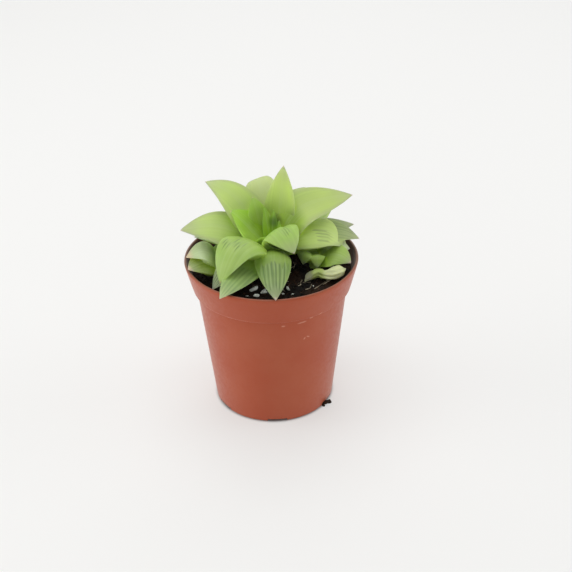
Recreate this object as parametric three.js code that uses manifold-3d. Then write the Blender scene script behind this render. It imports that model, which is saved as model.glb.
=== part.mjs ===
// Potted haworthia: a rosette succulent with two young offsets, planted in peat in a 55 mm plastic nursery pot.
// Millimetres, +Z up. The origin is on the surface that the pot stands on, under the pot's centre. The front is -Y.
// An azimuth is in degrees round the pot: 0 is the front, 90 the right (+X), 180 the back and 270 the left.

import * as THREE from "three";
import { mergeVertices } from "three/addons/utils/BufferGeometryUtils.js";
import Module from "manifold-3d";

const wasm = await Module();
wasm.setup();

// Clearance between solids that touch, and the wider ones where leaves of two heads press together and
// between the soil's flat sides and the pot's round wall
const GAP = 0.3;
const LEAF_GAP = 0.75;
const SOIL_GAP = 0.45;

// Driving dimensions of the pot
const POT_HEIGHT = 51;
const RIM_RADIUS = 27.5;
const COLLAR_DEPTH = 9.5;
const COLLAR_FOOT_RADIUS = 25.3;
const WALL_TOP_RADIUS = 24.1;
const FOOT_RADIUS = 19.4;
const WALL = 1.0;
const RIM_LIP = 0.5;
const FLOOR_RAISE = 1.6;
const FLOOR = 1.2;
const FOOT_RING = 1.6;
const FOOT_EDGE = 0.7;
const POT_SIDES = 60;
const COLLAR_STEP = POT_HEIGHT - COLLAR_DEPTH;
const FLOOR_TOP = FLOOR_RAISE + FLOOR;

// Drainage: slots through the foot ring, each below a round hole in the floor
const DRAINS = 6;
const DRAIN_SLOT_WIDTH = 6.4;
const DRAIN_SLOT_HEIGHT = 1.0;
const DRAIN_HOLE_RADIUS = 2.2;
const DRAIN_HOLE_CIRCLE = 14.2;
const DRAIN_TURN = 2;

// Soil
const SOIL_EDGE_HEIGHT = 46.3;
const SOIL_MOUND = 0.8;
const SOIL_LUMP = 0.3;
const SOIL_SIDES = 40;
const SOIL_RINGS = 9;

// Stems, each standing in a plain hole, with a cone above it that the leaves grow from
const MAIN_STEM = { x: 0, y: 0, radius: 4.2, foot: 40, neck: 51, top: 57, topRadius: 2.2 };
const LEFT_STEM = { x: -15, y: -4, radius: 2, foot: 42.5, neck: 48.5, top: 51.5, topRadius: 1.2 };
const RIGHT_STEM = { x: 14, y: -0.5, radius: 2, foot: 42.5, neck: 48.5, top: 51.5, topRadius: 1.2 };
const STEM_SIDES = 12;

// Roots, which spread from a crown just under the main stem
const ROOTS = 7;
const ROOT_RADIUS = 0.95;
const ROOT_TIP_RADIUS = 0.45;
const ROOT_SIDES = 6;
const ROOT_BENDS = 4;
const CROWN = { x: 0, y: 0, radius: 3.4, foot: 36.5, top: MAIN_STEM.foot - GAP };

const radians = THREE.MathUtils.degToRad;
const mix = THREE.MathUtils.lerp;

// A repeatable draw from 0 to 1, so that the plant grows the same way each time.
let seed = 7;
function draw() {
  seed = (seed * 16807) % 2147483647;
  return seed / 2147483647;
}

// Turns a closed geometry into a solid for cutting and joining.
function solid(geometry) {
  const plain = new THREE.BufferGeometry();
  plain.setAttribute("position", geometry.getAttribute("position"));
  if (geometry.index) plain.setIndex(geometry.index);
  const merged = mergeVertices(plain, 1e-4);
  const mesh = new wasm.Mesh({
    numProp: 3,
    vertProperties: new Float32Array(merged.attributes.position.array),
    triVerts: new Uint32Array(merged.index.array),
  });
  return new wasm.Manifold(mesh);
}

// Joins a list of solids into one.
function join(solids) {
  return solids.reduce((whole, piece) => whole.add(piece));
}

// The largest connected body of a solid, which drops loose scraps.
function largest(body) {
  return body.decompose().reduce((best, piece) => (piece.volume() > best.volume() ? piece : best));
}

// Turns a solid back into a three.js geometry.
function geometryOf(body) {
  const mesh = body.getMesh();
  const positions = new Float32Array(mesh.numVert * 3);
  for (let i = 0; i < mesh.numVert; i += 1) {
    positions.set(mesh.vertProperties.subarray(i * mesh.numProp, i * mesh.numProp + 3), i * 3);
  }
  const geometry = new THREE.BufferGeometry();
  geometry.setAttribute("position", new THREE.BufferAttribute(positions, 3));
  geometry.setIndex(new THREE.BufferAttribute(new Uint32Array(mesh.triVerts), 1));
  geometry.computeVertexNormals();
  return geometry;
}

// A closed skin over a stack of rings with the same number of points, from a flat first ring to a last point.
function skin(rings, lastPoint) {
  const sides = rings[0].length;
  const points = rings.flat();
  const faces = [];
  for (let i = 1; i < sides - 1; i += 1) faces.push(0, i + 1, i);
  for (let r = 0; r < rings.length - 1; r += 1) {
    for (let i = 0; i < sides; i += 1) {
      const a = r * sides + i;
      const b = r * sides + ((i + 1) % sides);
      faces.push(a, b, b + sides, a, b + sides, a + sides);
    }
  }
  const last = (rings.length - 1) * sides;
  points.push(lastPoint);
  for (let i = 0; i < sides; i += 1) faces.push(last + i, last + ((i + 1) % sides), points.length - 1);
  const geometry = new THREE.BufferGeometry();
  geometry.setFromPoints(points);
  geometry.setIndex(faces);
  return geometry;
}

// An upright cylinder from one height to another.
function column({ x, y, radius, foot, top }, sides = STEM_SIDES) {
  const geometry = new THREE.CylinderGeometry(radius, radius, top - foot, sides);
  geometry.rotateX(Math.PI / 2);
  geometry.translate(x, y, (top + foot) / 2);
  return geometry;
}

// The pot

// The radius of the pot's outside at a height.
function potRadius(height) {
  if (height > COLLAR_STEP) return mix(COLLAR_FOOT_RADIUS, RIM_RADIUS, (height - COLLAR_STEP) / COLLAR_DEPTH);
  return mix(FOOT_RADIUS, WALL_TOP_RADIUS, height / COLLAR_STEP);
}

// The corners of the pot's inside, from the floor up to the lip: [radius, height]
const INSIDE = [
  [potRadius(FLOOR_TOP) - WALL - 1, FLOOR_TOP],
  [potRadius(FLOOR_TOP + 1) - WALL, FLOOR_TOP + 1],
  [WALL_TOP_RADIUS - WALL, COLLAR_STEP - 0.6],
  [COLLAR_FOOT_RADIUS - WALL - 0.05, COLLAR_STEP + 0.6],
  [RIM_RADIUS - WALL - 0.1, POT_HEIGHT - RIM_LIP],
];

function makePot() {
  const outline = [
    [0, FLOOR_RAISE],
    [FOOT_RADIUS - FOOT_RING, FLOOR_RAISE],
    [FOOT_RADIUS - FOOT_RING, 0],
    [FOOT_RADIUS - FOOT_EDGE, 0],
    [potRadius(FOOT_EDGE), FOOT_EDGE],
    [WALL_TOP_RADIUS, COLLAR_STEP],
    [COLLAR_FOOT_RADIUS - 0.15, COLLAR_STEP],
    [COLLAR_FOOT_RADIUS, COLLAR_STEP + 0.3],
    [RIM_RADIUS, POT_HEIGHT - RIM_LIP],
    [RIM_RADIUS - 0.2, POT_HEIGHT - 0.12],
    [RIM_RADIUS - RIM_LIP, POT_HEIGHT],
    [RIM_RADIUS - WALL + 0.1, POT_HEIGHT - 0.15],
    ...INSIDE.toReversed(),
    [0, FLOOR_TOP],
  ].map(([r, z]) => new THREE.Vector2(r, z));
  const lathe = new THREE.LatheGeometry(outline, POT_SIDES);
  lathe.rotateX(Math.PI / 2);
  let body = solid(lathe);
  for (let i = 0; i < DRAINS; i += 1) {
    const turn = radians((i * 360) / DRAINS + DRAIN_TURN - 90);
    const slot = new THREE.BoxGeometry(FOOT_RING * 3, DRAIN_SLOT_WIDTH, DRAIN_SLOT_HEIGHT * 2);
    slot.translate(FOOT_RADIUS - FOOT_RING / 2, 0, 0);
    slot.rotateZ(turn);
    const hole = column({
      x: DRAIN_HOLE_CIRCLE * Math.cos(turn),
      y: DRAIN_HOLE_CIRCLE * Math.sin(turn),
      radius: DRAIN_HOLE_RADIUS,
      foot: FLOOR_RAISE - 1,
      top: FLOOR_TOP + 1,
    });
    body = body.subtract(solid(slot)).subtract(solid(hole));
  }
  return body;
}

// The soil, with its lumpy top

// The height of the soil's top at a place.
function soilHeight(x, y) {
  const share = Math.hypot(x, y) / RIM_RADIUS;
  const lumps =
    Math.sin(x * 0.9 + 1.3) * Math.cos(y * 0.8 - 0.4) +
    0.6 * Math.sin(x * 1.7 - y * 1.3 + 2.1) +
    0.5 * Math.cos(x * 0.6 + y * 2.1);
  return SOIL_EDGE_HEIGHT + SOIL_MOUND * (1 - share * share) + SOIL_LUMP * lumps;
}

function makeSoil(holes) {
  const ring = (radius, height) =>
    Array.from({ length: SOIL_SIDES }, (_, i) => {
      const turn = (i / SOIL_SIDES) * 2 * Math.PI;
      const x = radius * Math.cos(turn);
      const y = radius * Math.sin(turn);
      return new THREE.Vector3(x, y, height ?? soilHeight(x, y));
    });
  const rings = INSIDE.slice(0, -1).map(([radius, height], i) =>
    ring(radius - SOIL_GAP, i ? height : height + GAP)
  );
  const edge = potRadius(SOIL_EDGE_HEIGHT - SOIL_LUMP) - WALL - SOIL_GAP;
  for (let i = 0; i < SOIL_RINGS; i += 1) rings.push(ring(edge * (1 - i / SOIL_RINGS)));
  let body = solid(skin(rings, new THREE.Vector3(0, 0, soilHeight(0, 0))));
  for (const hole of holes) body = body.subtract(hole);
  return largest(body);
}

// The leaves

// Each leaf: az is the way it points, tip and bend are [reach from the stem's middle, height above the table],
// width and thick are its largest, sharp says how hard it turns at the bend, roll tips its face sideways, and
// cup hollows its upper face, or crowns it where it is negative. Angles are in degrees.
const BLADE = { width: 12, thick: 5, sharp: 1.5, roll: 0, cup: 0.1, root: [1.5, 50.3] };

const MAIN_LEAVES = [
  // the heart of the rosette
  { az: 222, tip: [8.1, 68.8], bend: [4.6, 60.8], width: 9, thick: 2.6, roll: -6, cup: 0.9, root: [2, 53] },
  { az: 205, tip: [4.7, 66.3], bend: [1.8, 60], width: 3.6, thick: 1.8, cup: 0.3, root: [0.5, 52.5] },
  { az: 165, tip: [4.4, 65.2], bend: [1.6, 59], width: 3.4, thick: 1.8, cup: 0.3, root: [0.5, 52.5] },
  { az: 130, tip: [3.6, 62], bend: [2.2, 58], width: 4.6, thick: 2.2, cup: 0.6, root: [0.6, 52.5] },
  { az: 274, tip: [12.2, 67.5], bend: [4, 60], width: 12, thick: 3, roll: -28, cup: 1.4, root: [0.2, 53.5] },
  { az: 345, tip: [5.4, 60.5], bend: [3.5, 58.5], width: 9, thick: 4, cup: 0.3, root: [0.8, 52] },
  // the tall leaves at the back
  { az: 152, tip: [9.6, 78], bend: [6.4, 63], width: 10.8, thick: 4, cup: 0.9, root: [1.5, 52] },
  { az: 193, tip: [21.5, 67], bend: [12.5, 74.8], width: 13, thick: 4.2, roll: -14, cup: 0.4 },
  { az: 240, tip: [23.5, 71.7], bend: [9, 71], width: 12.4, thick: 4.4, sharp: 1.4, roll: -24, cup: 0.8 },
  { az: 114, tip: [29, 65.7], bend: [6.5, 68.5], width: 13.6, thick: 4.8, sharp: 2, roll: 24, cup: 0.7 },
  { az: 142, tip: [18.6, 67.6], bend: [10, 67], width: 11, thick: 4, roll: 8, cup: 0.6 },
  // the broad leaves at the sides and the front
  { az: 271, tip: [28.1, 60.9], bend: [13, 64.4], width: 14.4, thick: 5.5, roll: -23, cup: 0.2 },
  {
    az: 30, tip: [14, 58], bend: [3.6, 65.4], width: 12.6, thick: 6.5, sharp: 1.8,
    roll: 9, cup: -0.6, root: [3, 50.3],
  },
  {
    az: 92, tip: [24.2, 52.2], bend: [19, 60.8], width: 13.2, sharp: 1.8, roll: 19,
    cup: -0.4, root: [2, 56.3],
  },
  { az: 320, tip: [24.6, 52.3], bend: [16.5, 66.6], width: 13.6, roll: -6, cup: -0.7, root: [1.5, 51.5] },
  {
    az: 2, tip: [28.5, 51.6], bend: [11.6, 57.4], width: 11.2, thick: 3.8, sharp: 2,
    cup: -2, root: [-1, 51],
  },
  // the lowest leaves, near the soil and the rim
  { az: 330, tip: [31.2, 51.7], bend: [16, 55], width: 10, thick: 3, roll: -10, cup: 0, root: [1.5, 51] },
  { az: 314, tip: [25.2, 49.2], bend: [18, 55.4], width: 12, thick: 2.6, cup: 0 },
  { az: 97, tip: [28.4, 54.3], bend: [18.5, 61], width: 11, thick: 3.2, roll: 24, root: [2, 52.5] },
  { az: 108, tip: [28.3, 56.6], bend: [15, 59.5], width: 11, thick: 3.6, roll: 11, root: [2, 52] },
  { az: 133, tip: [28.2, 57.7], bend: [14.5, 61], width: 11.6, thick: 4.6, sharp: 0.9, roll: 12, cup: 0.4 },
  // the leaves at the back, which the tall ones hide from the front
  { az: 156, tip: [27.6, 57], bend: [14, 62], thick: 4.8, cup: 0.3 },
  { az: 181, tip: [28.4, 57.5], bend: [14, 63], cup: 0.2 },
  { az: 210, tip: [28.2, 57], bend: [14, 63], width: 12.5, cup: 0.2 },
  { az: 233, tip: [26.5, 55.5], bend: [15, 60], width: 11.5, thick: 4.6, cup: 0.1 },
  { az: 252, tip: [26, 54], bend: [14, 57], width: 10, thick: 4, cup: 0 },
  { az: 167, tip: [24, 51], bend: [14, 56.5], width: 10.5, thick: 3.8, cup: 0 },
  { az: 196, tip: [25, 51.5], bend: [14, 57], width: 11, thick: 3.8, cup: 0 },
];

const LEFT_LEAVES = [
  { az: 275, tip: [11.6, 53.8], bend: [5.2, 58], width: 10, thick: 4, sharp: 1.8, roll: -8 },
  { az: 298, tip: [12.2, 52], bend: [7, 53.8], width: 10.5, thick: 4.2, sharp: 1.6, roll: -14 },
  { az: 240, tip: [9, 53.5], bend: [4.5, 54.5], width: 7, thick: 3.4 },
  { az: 185, tip: [7, 54.5], bend: [3.5, 55], width: 6.5, thick: 3.2 },
  { az: 60, tip: [4.5, 54], bend: [3, 53], width: 5, thick: 2.6 },
].map((leaf) => ({ root: [0.8, 49.6], cup: 0, ...leaf }));

const RIGHT_LEAVES = [
  { az: 58, tip: [12.6, 51.4], bend: [7.5, 54.3], width: 8.8, thick: 3, sharp: 1.7, roll: 28 },
  { az: 85, tip: [10.8, 53.4], bend: [6.6, 54.6], width: 8.5, thick: 3.2, roll: 24 },
  { az: 2, tip: [6.4, 49.8], bend: [6, 55], width: 5.2, thick: 2.8, sharp: 2, cup: -0.6 },
  { az: 312, tip: [5.6, 49.6], bend: [5.8, 55.5], width: 7, thick: 2.8, sharp: 2, cup: -0.6 },
  { az: 130, tip: [9, 53.5], bend: [5, 54], width: 7.5, thick: 3.2 },
  { az: 215, tip: [5, 54], bend: [3, 53.5], width: 5.5, thick: 2.8 },
].map((leaf) => ({ root: [0.8, 49.2], cup: 0, ...leaf }));

// The leaf's outline: its share of the full width, and of the full thickness, at shares of its length.
const STATIONS = [0, 0.16, 0.32, 0.44, 0.54, 0.66, 0.78, 0.88, 0.955];
const SHOULDER = 0.46;

function widthShare(u) {
  if (u < SHOULDER) return mix(0.52, 1, Math.sin((u / SHOULDER) * (Math.PI / 2)));
  return 1 - ((u - SHOULDER) / (1 - SHOULDER)) ** 1.9;
}

function thickShare(u) {
  if (u < SHOULDER) return mix(0.6, 1, Math.sin((u / SHOULDER) * (Math.PI / 2)));
  return 1 - 0.94 * ((u - SHOULDER) / (1 - SHOULDER)) ** 1.15;
}

// The points of a leaf's cross-section, as shares of its half width and its thickness: a flat face over a keeled back.
const FACE = [-1, -0.5, 0, 0.5, 1];
const BACK = [0.72, 0, -0.72];

function leafRings(leaf, stem, grow = 0) {
  const { az, tip, bend, width, thick, sharp, roll, cup, root } = { ...BLADE, ...leaf };
  const turn = radians(az);
  const at = (t) => {
    const weights = [(1 - t) ** 2, 2 * sharp * t * (1 - t), t * t];
    const total = weights[0] + weights[1] + weights[2];
    const reach = (weights[0] * root[0] + weights[1] * bend[0] + weights[2] * tip[0]) / total;
    const height = (weights[0] * root[1] + weights[1] * bend[1] + weights[2] * tip[1]) / total;
    return new THREE.Vector3(stem.x + reach * Math.sin(turn), stem.y - reach * Math.cos(turn), height);
  };
  const line = [];
  const steps = 40;
  let length = 0;
  for (let i = 0; i <= steps; i += 1) {
    const point = at(i / steps);
    if (i) length += point.distanceTo(line[i - 1].point);
    line.push({ point, length });
  }
  const along = (u) => {
    const target = u * length;
    const i = Math.max(1, line.findIndex((step) => step.length >= target));
    const share = (target - line[i - 1].length) / (line[i].length - line[i - 1].length);
    return (i - 1 + share) / steps;
  };
  const rings = STATIONS.map((u) => {
    const t = along(u);
    const point = at(t);
    const forward = at(Math.min(1, t + 0.01)).sub(at(Math.max(0, t - 0.01))).normalize();
    const side = new THREE.Vector3(Math.cos(turn), Math.sin(turn), 0);
    side.addScaledVector(forward, -side.dot(forward)).normalize();
    side.applyAxisAngle(forward, radians(roll));
    const up = new THREE.Vector3().crossVectors(forward, side);
    const half = (width / 2) * widthShare(u) + grow;
    const deep = thick * thickShare(u);
    const hollow = u < SHOULDER ? 1 : 1 - (u - SHOULDER) / (1 - SHOULDER);
    const crown = 0.12 * deep - cup * 0.2 * half * hollow;
    const place = (x, y) => point.clone().addScaledVector(side, x * half).addScaledVector(up, y);
    const face = FACE.map((x) => place(x, crown * (1 - x * x) + grow));
    const back = BACK.map((x) => place(x, -(deep * (x === 0 ? 0.84 : 0.5)) - grow));
    return [...face, ...back].reverse();
  });
  const point = at(1);
  point.addScaledVector(point.clone().sub(at(0.98)).normalize(), 2 * grow);
  return { rings, point };
}

function makeLeaf(leaf, stem, grow = 0) {
  const { rings, point } = leafRings(leaf, stem, grow);
  return solid(skin(rings, point));
}

// A stem with its foot in the soil and its cone among the leaves. It can be made fatter by a clearance.
function makeStem({ x, y, radius, foot, neck, top, topRadius }, grow = 0) {
  const outline = [
    [0, foot - grow],
    [radius + grow, foot - grow],
    [radius + grow, neck],
    [topRadius + grow, top + grow],
    [0, top + grow],
  ].map(([r, z]) => new THREE.Vector2(r, z));
  const geometry = new THREE.LatheGeometry(outline, STEM_SIDES);
  geometry.rotateX(Math.PI / 2);
  geometry.translate(x, y, 0);
  return solid(geometry);
}

function makeRosette(leaves, stem, grow = 0) {
  return join([makeStem(stem, grow), ...leaves.map((leaf) => makeLeaf(leaf, stem, grow))]);
}

// The roots

function makeRoots(grow = 0) {
  seed = 11;
  const crown = { ...CROWN, radius: CROWN.radius + grow, foot: CROWN.foot - grow, top: CROWN.top + grow };
  const pieces = [solid(column(crown))];
  for (let i = 0; i < ROOTS; i += 1) {
    const turn = (2 * Math.PI * (i + 0.5 * draw())) / ROOTS;
    const reach = mix(9, 14, draw());
    const depth = mix(14, 24, draw());
    const sway = mix(-0.5, 0.5, draw());
    const rings = [];
    for (let k = 0; k <= ROOT_BENDS; k += 1) {
      const t = k / ROOT_BENDS;
      const out = mix(1.5, reach, t ** 0.8);
      const height = CROWN.foot + 1 - depth * t ** 1.4;
      const angle = turn + sway * t * t;
      const centre = new THREE.Vector3(out * Math.cos(angle), out * Math.sin(angle), height);
      const radius = mix(ROOT_RADIUS, ROOT_TIP_RADIUS, t) + grow;
      const tilt = new THREE.Vector3(Math.sin(angle), -Math.cos(angle), 0);
      const slope = new THREE.Vector3(Math.cos(angle), Math.sin(angle), 0.6 * (1 - t) + 0.5).normalize();
      rings.push(
        Array.from({ length: ROOT_SIDES }, (_, j) => {
          const around = (j / ROOT_SIDES) * 2 * Math.PI;
          return centre
            .clone()
            .addScaledVector(slope, radius * Math.cos(around))
            .addScaledVector(tilt, radius * Math.sin(around));
        })
      );
    }
    const end = rings[ROOT_BENDS].reduce((sum, point) => sum.add(point), new THREE.Vector3());
    end.divideScalar(ROOT_SIDES);
    end.z -= 1 + grow;
    pieces.push(solid(skin(rings, end)));
  }
  return join(pieces);
}

// A shed leaf, shrivelled and lying on the soil
const SHED_LINE = [
  [10.2, -11.6, 47.7],
  [11.1, -10.9, 48.4],
  [12.4, -9.9, 49.1],
  [14.4, -9.2, 49.5],
  [16.2, -9.6, 49.1],
  [18.1, -9.8, 49.2],
  [20, -9.2, 49.5],
  [21.8, -8.4, 49.8],
  [23.1, -7.7, 49.9],
];
const SHED_HALF_WIDTHS = [0.7, 1.1, 1.6, 1.7, 1.7, 2.2, 2.2, 1.8, 0.9];
const SHED_FLATNESS = 0.7;
const SHED_SIDES = 8;
const SHED_STEPS = 16;

function makeShedLeaf() {
  const curve = new THREE.CatmullRomCurve3(SHED_LINE.map((point) => new THREE.Vector3(...point)));
  const rings = [];
  for (let i = 0; i < SHED_STEPS; i += 1) {
    const t = i / SHED_STEPS;
    const centre = curve.getPoint(t);
    const forward = curve.getTangent(t);
    const side = new THREE.Vector3(0, 0, 1).cross(forward).normalize();
    const up = new THREE.Vector3().crossVectors(forward, side);
    const place = t * (SHED_HALF_WIDTHS.length - 1);
    const from = Math.floor(place);
    const half = mix(SHED_HALF_WIDTHS[from], SHED_HALF_WIDTHS[from + 1], place - from);
    rings.push(
      Array.from({ length: SHED_SIDES }, (_, j) => {
        const around = (j / SHED_SIDES) * 2 * Math.PI + 0.25 * Math.sin(i);
        const wrinkle = 1 + 0.12 * Math.sin(3 * around + i);
        return centre
          .clone()
          .addScaledVector(side, half * wrinkle * Math.cos(around))
          .addScaledVector(up, half * wrinkle * SHED_FLATNESS * Math.sin(around));
      })
    );
  }
  return solid(skin(rings, curve.getPoint(1)));
}

// White chips of perlite, lying on the soil: [x, y, length, width, turn in degrees]
const CHIPS = [
  [-5.7, -14.9, 3.6, 1.5, 53],
  [-4.9, -18, 2, 1.2, 5],
  [-2.4, -15.9, 1.9, 1.4, 70],
  [4.7, -15.2, 2.6, 1, -68],
  [22.4, 8.4, 1.3, 1, 0],
];
const CHIP_FLATNESS = 0.7;

function makeChip([x, y, length, width, turn]) {
  const chip = new THREE.IcosahedronGeometry(0.5);
  const merged = mergeVertices(new THREE.BufferGeometry().setAttribute("position", chip.getAttribute("position")));
  const points = merged.getAttribute("position");
  for (let i = 0; i < points.count; i += 1) {
    const swell = mix(0.8, 1.1, draw());
    points.setXYZ(i, points.getX(i) * swell, points.getY(i) * swell, points.getZ(i) * swell);
  }
  merged.scale(length, width, width * CHIP_FLATNESS);
  merged.rotateZ(radians(turn));
  merged.translate(x, y, POT_HEIGHT);
  return solid(merged);
}

// Lowers a piece until it is a clearance above the soil.
function settle(piece, soil) {
  const reach = POT_HEIGHT;
  return [0, 1, 2].reduce((body) => body.translate([0, 0, GAP - body.minGap(soil, reach)]), piece);
}

// Nodes

const part = new THREE.Group();

function add(name, body, colour, roughness) {
  const material = new THREE.MeshStandardMaterial({ color: colour, roughness, metalness: 0 });
  const mesh = new THREE.Mesh(geometryOf(body), material);
  mesh.name = name;
  part.add(mesh);
}

const stemHole = (stem) => solid(column({ ...stem, radius: stem.radius + GAP, foot: stem.foot - GAP }));
const mainRosette = largest(makeRosette(MAIN_LEAVES, MAIN_STEM));
const mainRoom = makeRosette(MAIN_LEAVES, MAIN_STEM, LEAF_GAP);
const holes = [...[MAIN_STEM, LEFT_STEM, RIGHT_STEM].map(stemHole), makeRoots(1.5 * GAP)];
const soil = makeSoil(holes);

add("pot", makePot(), 0xb06048, 0.45);
add("soil", soil, 0x2a1d14, 0.95);
add("main_rosette", mainRosette, 0x9cc25a, 0.4);
add("main_roots", makeRoots(), 0xd8c9a2, 0.8);
add("left_offset", largest(makeRosette(LEFT_LEAVES, LEFT_STEM).subtract(mainRoom)), 0x8fae78, 0.4);
add("right_offset", largest(makeRosette(RIGHT_LEAVES, RIGHT_STEM).subtract(mainRoom)), 0x86a35c, 0.4);
add("shrivelled_leaf", makeShedLeaf(), 0xcfd694, 0.7);
CHIPS.forEach((chip, i) => add(`perlite_${i + 1}`, settle(makeChip(chip), soil), 0xd9dcd2, 0.9));

export default part;
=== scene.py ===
import math
import random

import bpy
import numpy as np
from mathutils import Matrix, Vector, noise


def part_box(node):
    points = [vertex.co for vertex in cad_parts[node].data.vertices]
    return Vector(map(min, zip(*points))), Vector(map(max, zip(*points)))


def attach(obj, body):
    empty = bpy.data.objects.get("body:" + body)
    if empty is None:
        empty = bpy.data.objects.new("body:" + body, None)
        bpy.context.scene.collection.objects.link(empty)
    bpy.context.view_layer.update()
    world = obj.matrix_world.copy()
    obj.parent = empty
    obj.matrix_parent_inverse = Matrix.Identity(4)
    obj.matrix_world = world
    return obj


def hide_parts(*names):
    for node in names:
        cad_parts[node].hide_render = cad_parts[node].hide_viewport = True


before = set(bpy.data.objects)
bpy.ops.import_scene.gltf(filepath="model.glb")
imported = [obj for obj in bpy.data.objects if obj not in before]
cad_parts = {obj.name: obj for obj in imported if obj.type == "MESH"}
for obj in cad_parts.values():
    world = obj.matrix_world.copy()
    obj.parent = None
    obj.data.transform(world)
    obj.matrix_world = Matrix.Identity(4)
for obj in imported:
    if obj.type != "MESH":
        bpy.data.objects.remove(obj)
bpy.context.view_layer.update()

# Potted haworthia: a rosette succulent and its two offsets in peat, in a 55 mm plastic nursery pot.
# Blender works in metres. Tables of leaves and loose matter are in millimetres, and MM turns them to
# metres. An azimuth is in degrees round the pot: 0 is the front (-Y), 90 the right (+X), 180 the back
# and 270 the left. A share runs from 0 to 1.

MM = 0.001
BODY = "root"


# Camera, set where the photographer stood

# In pixels, but for the sensor, which is in millimetres
FRAME_WIDTH = 572
LENS_PIXELS = 1110.7
SENSOR = 36
# The eye, seen from the point on the pot's axis at AIM_HEIGHT, which lies at AIM_PIXEL in the frame.
# Angles are in degrees.
EYE_DISTANCE = 0.3646
EYE_ELEVATION = 32.78
CAMERA_ROLL = 1.5
AIM_HEIGHT = 0.025
AIM_PIXEL = (272.06, 324.0)
CLIP_START = 0.01


def place_camera():
    """Looks at the pot's middle, then turns the lens so that the pot sits where it does in the frame."""
    elevation = math.radians(EYE_ELEVATION)
    right = Vector((1, 0, 0))
    up = Vector((0, math.sin(elevation), math.cos(elevation)))
    back = Vector((0, -math.cos(elevation), math.sin(elevation)))
    middle = FRAME_WIDTH / 2
    aside = math.atan((AIM_PIXEL[0] - middle) / LENS_PIXELS)
    tilt = math.atan((middle - AIM_PIXEL[1]) / LENS_PIXELS)
    turn = Matrix.Rotation(aside, 3, up)
    nod = Matrix.Rotation(-tilt, 3, turn @ right)
    roll = Matrix.Rotation(-math.radians(CAMERA_ROLL), 3, nod @ turn @ back)
    facing = roll @ nod @ turn @ Matrix((right, up, back)).transposed()
    eye = back * EYE_DISTANCE + Vector((0, 0, AIM_HEIGHT))
    lens = bpy.data.cameras.new("camera")
    lens.sensor_width = SENSOR
    lens.lens = LENS_PIXELS / FRAME_WIDTH * SENSOR
    lens.clip_start = CLIP_START
    camera = bpy.data.objects.new("camera", lens)
    camera.matrix_world = Matrix.Translation(eye) @ facing.to_4x4()
    bpy.context.scene.collection.objects.link(camera)
    bpy.context.scene.camera = camera


# Helpers for modelling by hand

def start_clear():
    """Leaves edit mode and deselects everything."""
    if bpy.context.object and bpy.context.object.mode != "OBJECT":
        bpy.ops.object.mode_set(mode="OBJECT")
    bpy.ops.object.select_all(action="DESELECT")


def take(piece):
    """Makes a piece the only one selected, and the active one."""
    start_clear()
    piece.select_set(True)
    bpy.context.view_layer.objects.active = piece


def named(piece, name):
    piece.name = name
    piece.data.name = name
    return piece


def settle(piece):
    """Puts a piece's place, turn and scale into its mesh."""
    take(piece)
    bpy.ops.object.transform_apply(location=True, rotation=True, scale=True)
    return piece


def smooth(piece, angle):
    """Shades a piece smooth, apart from edges sharper than an angle in degrees."""
    take(piece)
    bpy.ops.object.shade_smooth_by_angle(angle=math.radians(angle))
    return piece


def join(pieces, name):
    """Joins pieces into the first one."""
    take(pieces[0])
    for piece in pieces:
        piece.select_set(True)
    bpy.ops.object.join()
    return named(bpy.context.object, name)


def finish_piece(piece, slot, material, *nodes):
    """Gives a piece its material and its body, and hides the CAD nodes that it stands for."""
    piece.data.materials.clear()
    piece.data.materials.append(material)
    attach(piece, BODY)
    if nodes:
        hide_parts(*nodes)
    return piece


def copy_of(pattern, name):
    """A copy of a pattern with its own mesh."""
    copy = bpy.data.objects.new(name, pattern.data.copy())
    bpy.context.scene.collection.objects.link(copy)
    return copy


def get_points(piece):
    points = np.empty(len(piece.data.vertices) * 3)
    piece.data.vertices.foreach_get("co", points)
    return points.reshape(-1, 3)


def set_points(piece, points):
    piece.data.vertices.foreach_set("co", points.ravel())
    piece.data.update()


def blend(low, high, share):
    return low + (high - low) * share


def unit(vectors):
    return vectors / np.linalg.norm(vectors, axis=1, keepdims=True)


def turned(degrees):
    """A turn about the upright axis."""
    return Matrix.Rotation(math.radians(degrees), 3, "Z")


def close_first_loop():
    """Closes the loop that a piece starts with, and selects its rim to draw the piece on from."""
    bpy.ops.mesh.extrude_edges_move()
    bpy.ops.mesh.merge(type="CENTER")
    bpy.ops.mesh.select_all(action="SELECT")
    bpy.ops.mesh.region_to_loop()


def draw_on(way, shares, centre):
    """Extrudes the selected loop some way and resizes it about a centre."""
    bpy.ops.mesh.extrude_edges_move(TRANSFORM_OT_translate={"value": way})
    bpy.ops.transform.resize(value=shares, center_override=centre)


def lathe(name, sides, outline):
    """A round piece, closed at both ends: a circle drawn on through an outline of (radius, height)."""
    start_clear()
    radius, height = outline[0]
    bpy.ops.mesh.primitive_circle_add(vertices=sides, radius=radius, location=(0, 0, height))
    piece = settle(bpy.context.object)
    bpy.ops.object.mode_set(mode="EDIT")
    bpy.ops.mesh.select_all(action="SELECT")
    close_first_loop()
    for next_radius, next_height in outline[1:]:
        share = next_radius / radius
        draw_on((0, 0, next_height - height), (share, share, 1), (0, 0, next_height))
        radius, height = next_radius, next_height
    bpy.ops.mesh.extrude_edges_move()
    bpy.ops.mesh.merge(type="CENTER")
    bpy.ops.mesh.select_all(action="SELECT")
    bpy.ops.mesh.remove_doubles(threshold=1e-7)
    bpy.ops.mesh.normals_make_consistent(inside=False)
    bpy.ops.object.mode_set(mode="OBJECT")
    return named(piece, name)


def model_ball(subdivisions, radius=0.5):
    """A faceted ball, the start of a crumb or a chip."""
    start_clear()
    bpy.ops.mesh.primitive_ico_sphere_add(subdivisions=subdivisions, radius=radius)
    return bpy.context.object


# Helpers for materials

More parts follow.
